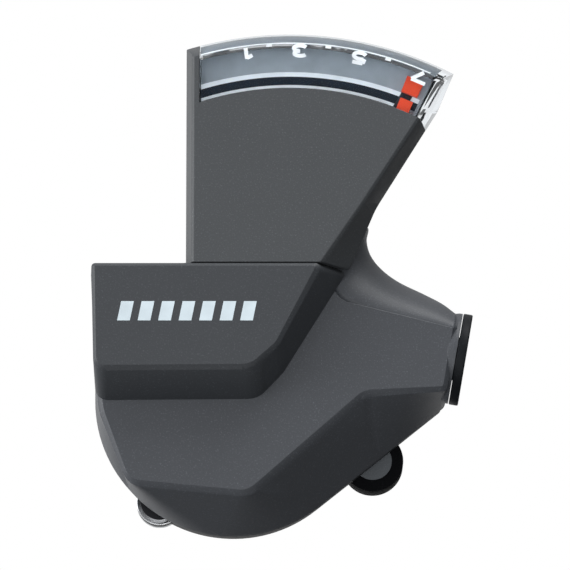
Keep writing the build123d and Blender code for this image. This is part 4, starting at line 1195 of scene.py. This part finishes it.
@dataclass
class CollarKnurl:
    """Fine axial ribs round the edge of the adjuster's collar."""

    ribs: int = 48
    inset_mm: float = 0.12
    width_mm: float = 1.0
    from_face_mm: float = 0.25
    root_mm: float = 0.6
    steps_per_rib: int = 6

    def build(self, paint: Paint) -> None:
        """Builds a thin ribbed band set in the collar's rim.

        Its radius is the collar's less a small cosine ripple with one wave for each rib, and
        its section is a rectangle.

        Args:
            paint: the finishes.
        """
        low, high = low_high("adjuster_collar")
        axis = joint_axis("adjuster_turn")
        centre = joint_point("adjuster_turn")
        radius = (high[2] - low[2]) / 2
        side = np.cross(axis, UP)
        turn = np.linspace(0, 2 * np.pi, self.ribs * self.steps_per_rib, endpoint=False)
        ripple = radius - (self.inset_mm * MM) * (0.5 - 0.5 * np.cos(turn * self.ribs))
        inner = np.full_like(turn, radius - self.root_mm * MM)
        near, far = -self.from_face_mm, -self.from_face_mm - self.width_mm
        spans = np.array([near, far, far, near]) * MM
        radii = np.stack([ripple, ripple, inner, inner], 1)
        ring = (centre + spans[None, :, None] * axis
                + radii[..., None] * (np.cos(turn)[:, None, None] * side
                                      + np.sin(turn)[:, None, None] * UP))
        faces = grid_faces(len(turn), 4, True, True)
        piece = outward(mesh_object("adjuster_collar_knurl", ring.reshape(-1, 3), faces, False))
        paint.put(piece, COLLAR_BLACK)
        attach(piece, "barrel")
        log.info("built %s", piece.name)


@dataclass(frozen=True)
class SoftLamp:
    """Square area lamp aimed at the origin, placed in metres."""

    name: str
    spot: tuple[float, float, float]
    size: float
    power: float


@dataclass
class Studio:
    """Directional surround, soft lamps and a long-lens camera above the covers."""

    elevation_deg: float = 78.0
    distance: float = 0.9
    view_width_mm: float = 91.2
    target_mm: tuple[float, float] = (3.68, -19.36)
    target_level_mm: float = 8.0
    sensor_mm: float = 36.0
    clip: tuple[float, float] = (0.05, 10.0)
    ambient: float = 0.42
    front_dim: float = 0.33
    right_dim: float = 0.38
    left_glow: float = 0.58
    rear_glow: float = 0.3
    below_glow: float = 2.0
    darkest: float = 0.12
    lamp_set: tuple[SoftLamp, ...] = (
        SoftLamp("overhead", (0.0, -0.35, 0.85), 0.5, 3.0),
        SoftLamp("rear", (0.25, 0.85, 0.35), 0.5, 7.0),
        SoftLamp("left", (-0.85, 0.1, 0.3), 0.6, 6.0),
    )

    def build(self) -> None:
        """Builds the surround, the lamps and the camera."""
        self.surround()
        self.lamps()
        self.camera()

    def surround(self) -> None:
        """World whose brightness depends on direction alone.

        An even level is dimmed towards the front and the right, raised towards the left and the
        rear, and white straight below, each by a smooth ramp of one axis of the direction.
        """
        world = bpy.data.worlds.new("studio_world")
        world.use_nodes = True
        tree = world.node_tree
        place = tree.nodes.new("ShaderNodeTexCoord")
        axes = tree.nodes.new("ShaderNodeSeparateXYZ")
        linked(tree, (place, "Generated"), (axes, "Vector"))

        level = tree.nodes.new("ShaderNodeValue")
        level.outputs[0].default_value = self.ambient
        total = (level, 0)
        for axis, start, stop, amount in (("Y", -0.1, -0.6, -self.front_dim),
                                          ("X", 0.1, 0.6, -self.right_dim),
                                          ("X", -0.2, -0.8, self.left_glow),
                                          ("Y", 0.3, 0.8, self.rear_glow),
                                          ("Z", -0.9, -0.94, self.below_glow)):
            add = tree.nodes.new("ShaderNodeMath")
            linked(tree, total, (add, 0))
            ramp = ranged(tree, (axes, axis), 0.0, amount, start, stop)
            ramp[0].interpolation_type = "SMOOTHSTEP"
            linked(tree, ramp, (add, 1))
            total = (add, 0)
        floor = tree.nodes.new("ShaderNodeClamp")
        floor.inputs["Min"].default_value = self.darkest
        floor.inputs["Max"].default_value = 1.0
        linked(tree, total, (floor, "Value"))
        linked(tree, (floor, "Result"), (tree.nodes["Background"], "Strength"))
        tree.nodes["Background"].inputs["Color"].default_value = (1, 1, 1, 1)
        bpy.context.scene.world = world

    def lamps(self) -> None:
        """Large soft lamps above, behind and to the left, unseen by the camera."""
        for soft in self.lamp_set:
            data = bpy.data.lights.new(soft.name, "AREA")
            data.size = soft.size
            data.energy = soft.power
            lamp = bpy.data.objects.new(soft.name, data)
            lamp.location = soft.spot
            lamp.rotation_euler = (-lamp.location.normalized()).to_track_quat("-Z", "Y").to_euler()
            lamp.visible_camera = False
            bpy.context.scene.collection.objects.link(lamp)

    def camera(self) -> None:
        """Camera above the front of the covers, looking along +Y and down.

        The target's height across the view, v, is y times the sine of the elevation plus z
        times its cosine, which is solved for y at the target's level.
        """
        tilt = math.radians(self.elevation_deg)
        x, v = self.target_mm
        y = (v - math.cos(tilt) * self.target_level_mm) / math.sin(tilt)
        target = np.array([x, y, self.target_level_mm]) * MM
        back = np.array([0.0, -math.cos(tilt), math.sin(tilt)])
        data = bpy.data.cameras.new("camera")
        data.sensor_width = self.sensor_mm
        data.lens = data.sensor_width * self.distance / (self.view_width_mm * MM)
        cam = bpy.data.objects.new("camera", data)
        cam.location = (target + back * self.distance).tolist()
        cam.rotation_euler = Vector((-back).tolist()).to_track_quat("-Z", "Y").to_euler()
        data.clip_start, data.clip_end = self.clip
        bpy.context.scene.collection.objects.link(cam)
        bpy.context.scene.camera = cam


def dress_frame(paint: Paint) -> None:
    """Gives every carried-over node its finish.

    Args:
        paint: the finishes.
    """
    for finish, names in NODE_FINISHES.items():
        for name in names:
            paint.put(frame["nodes"][name], finish)
            log.info("%s: %s", name, finish.name)


def main() -> None:
    """Builds every sub-assembly in order and reports each piece."""
    logging.basicConfig(level=logging.INFO, format="%(name)s: %(message)s")
    bpy.context.scene.view_settings.view_transform = "Standard"
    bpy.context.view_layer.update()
    Studio().build()
    paint = Paint()
    dress_frame(paint)
    SoftEdges().apply(frame["nodes"])
    GearDial().build(paint)
    PlateMark().build(paint)
    CoverFairing().build(paint)
    MouthRim().build(paint)
    PadRidges().build(paint)
    CollarKnurl().build(paint)
    for spring in (CoilSpring("lever_return_spring", "housing", 2.6, 0.9),
                   CoilSpring("spool_return_spring", "housing", 1.9, 0.9),
                   CoilSpring("feed_pawl_spring", "main_lever", 1.8, 0.35),
                   CoilSpring("hold_pawl_spring", "housing", 2.4, 0.35)):
        spring.build(paint)


if __name__ == "__main__":
    main()
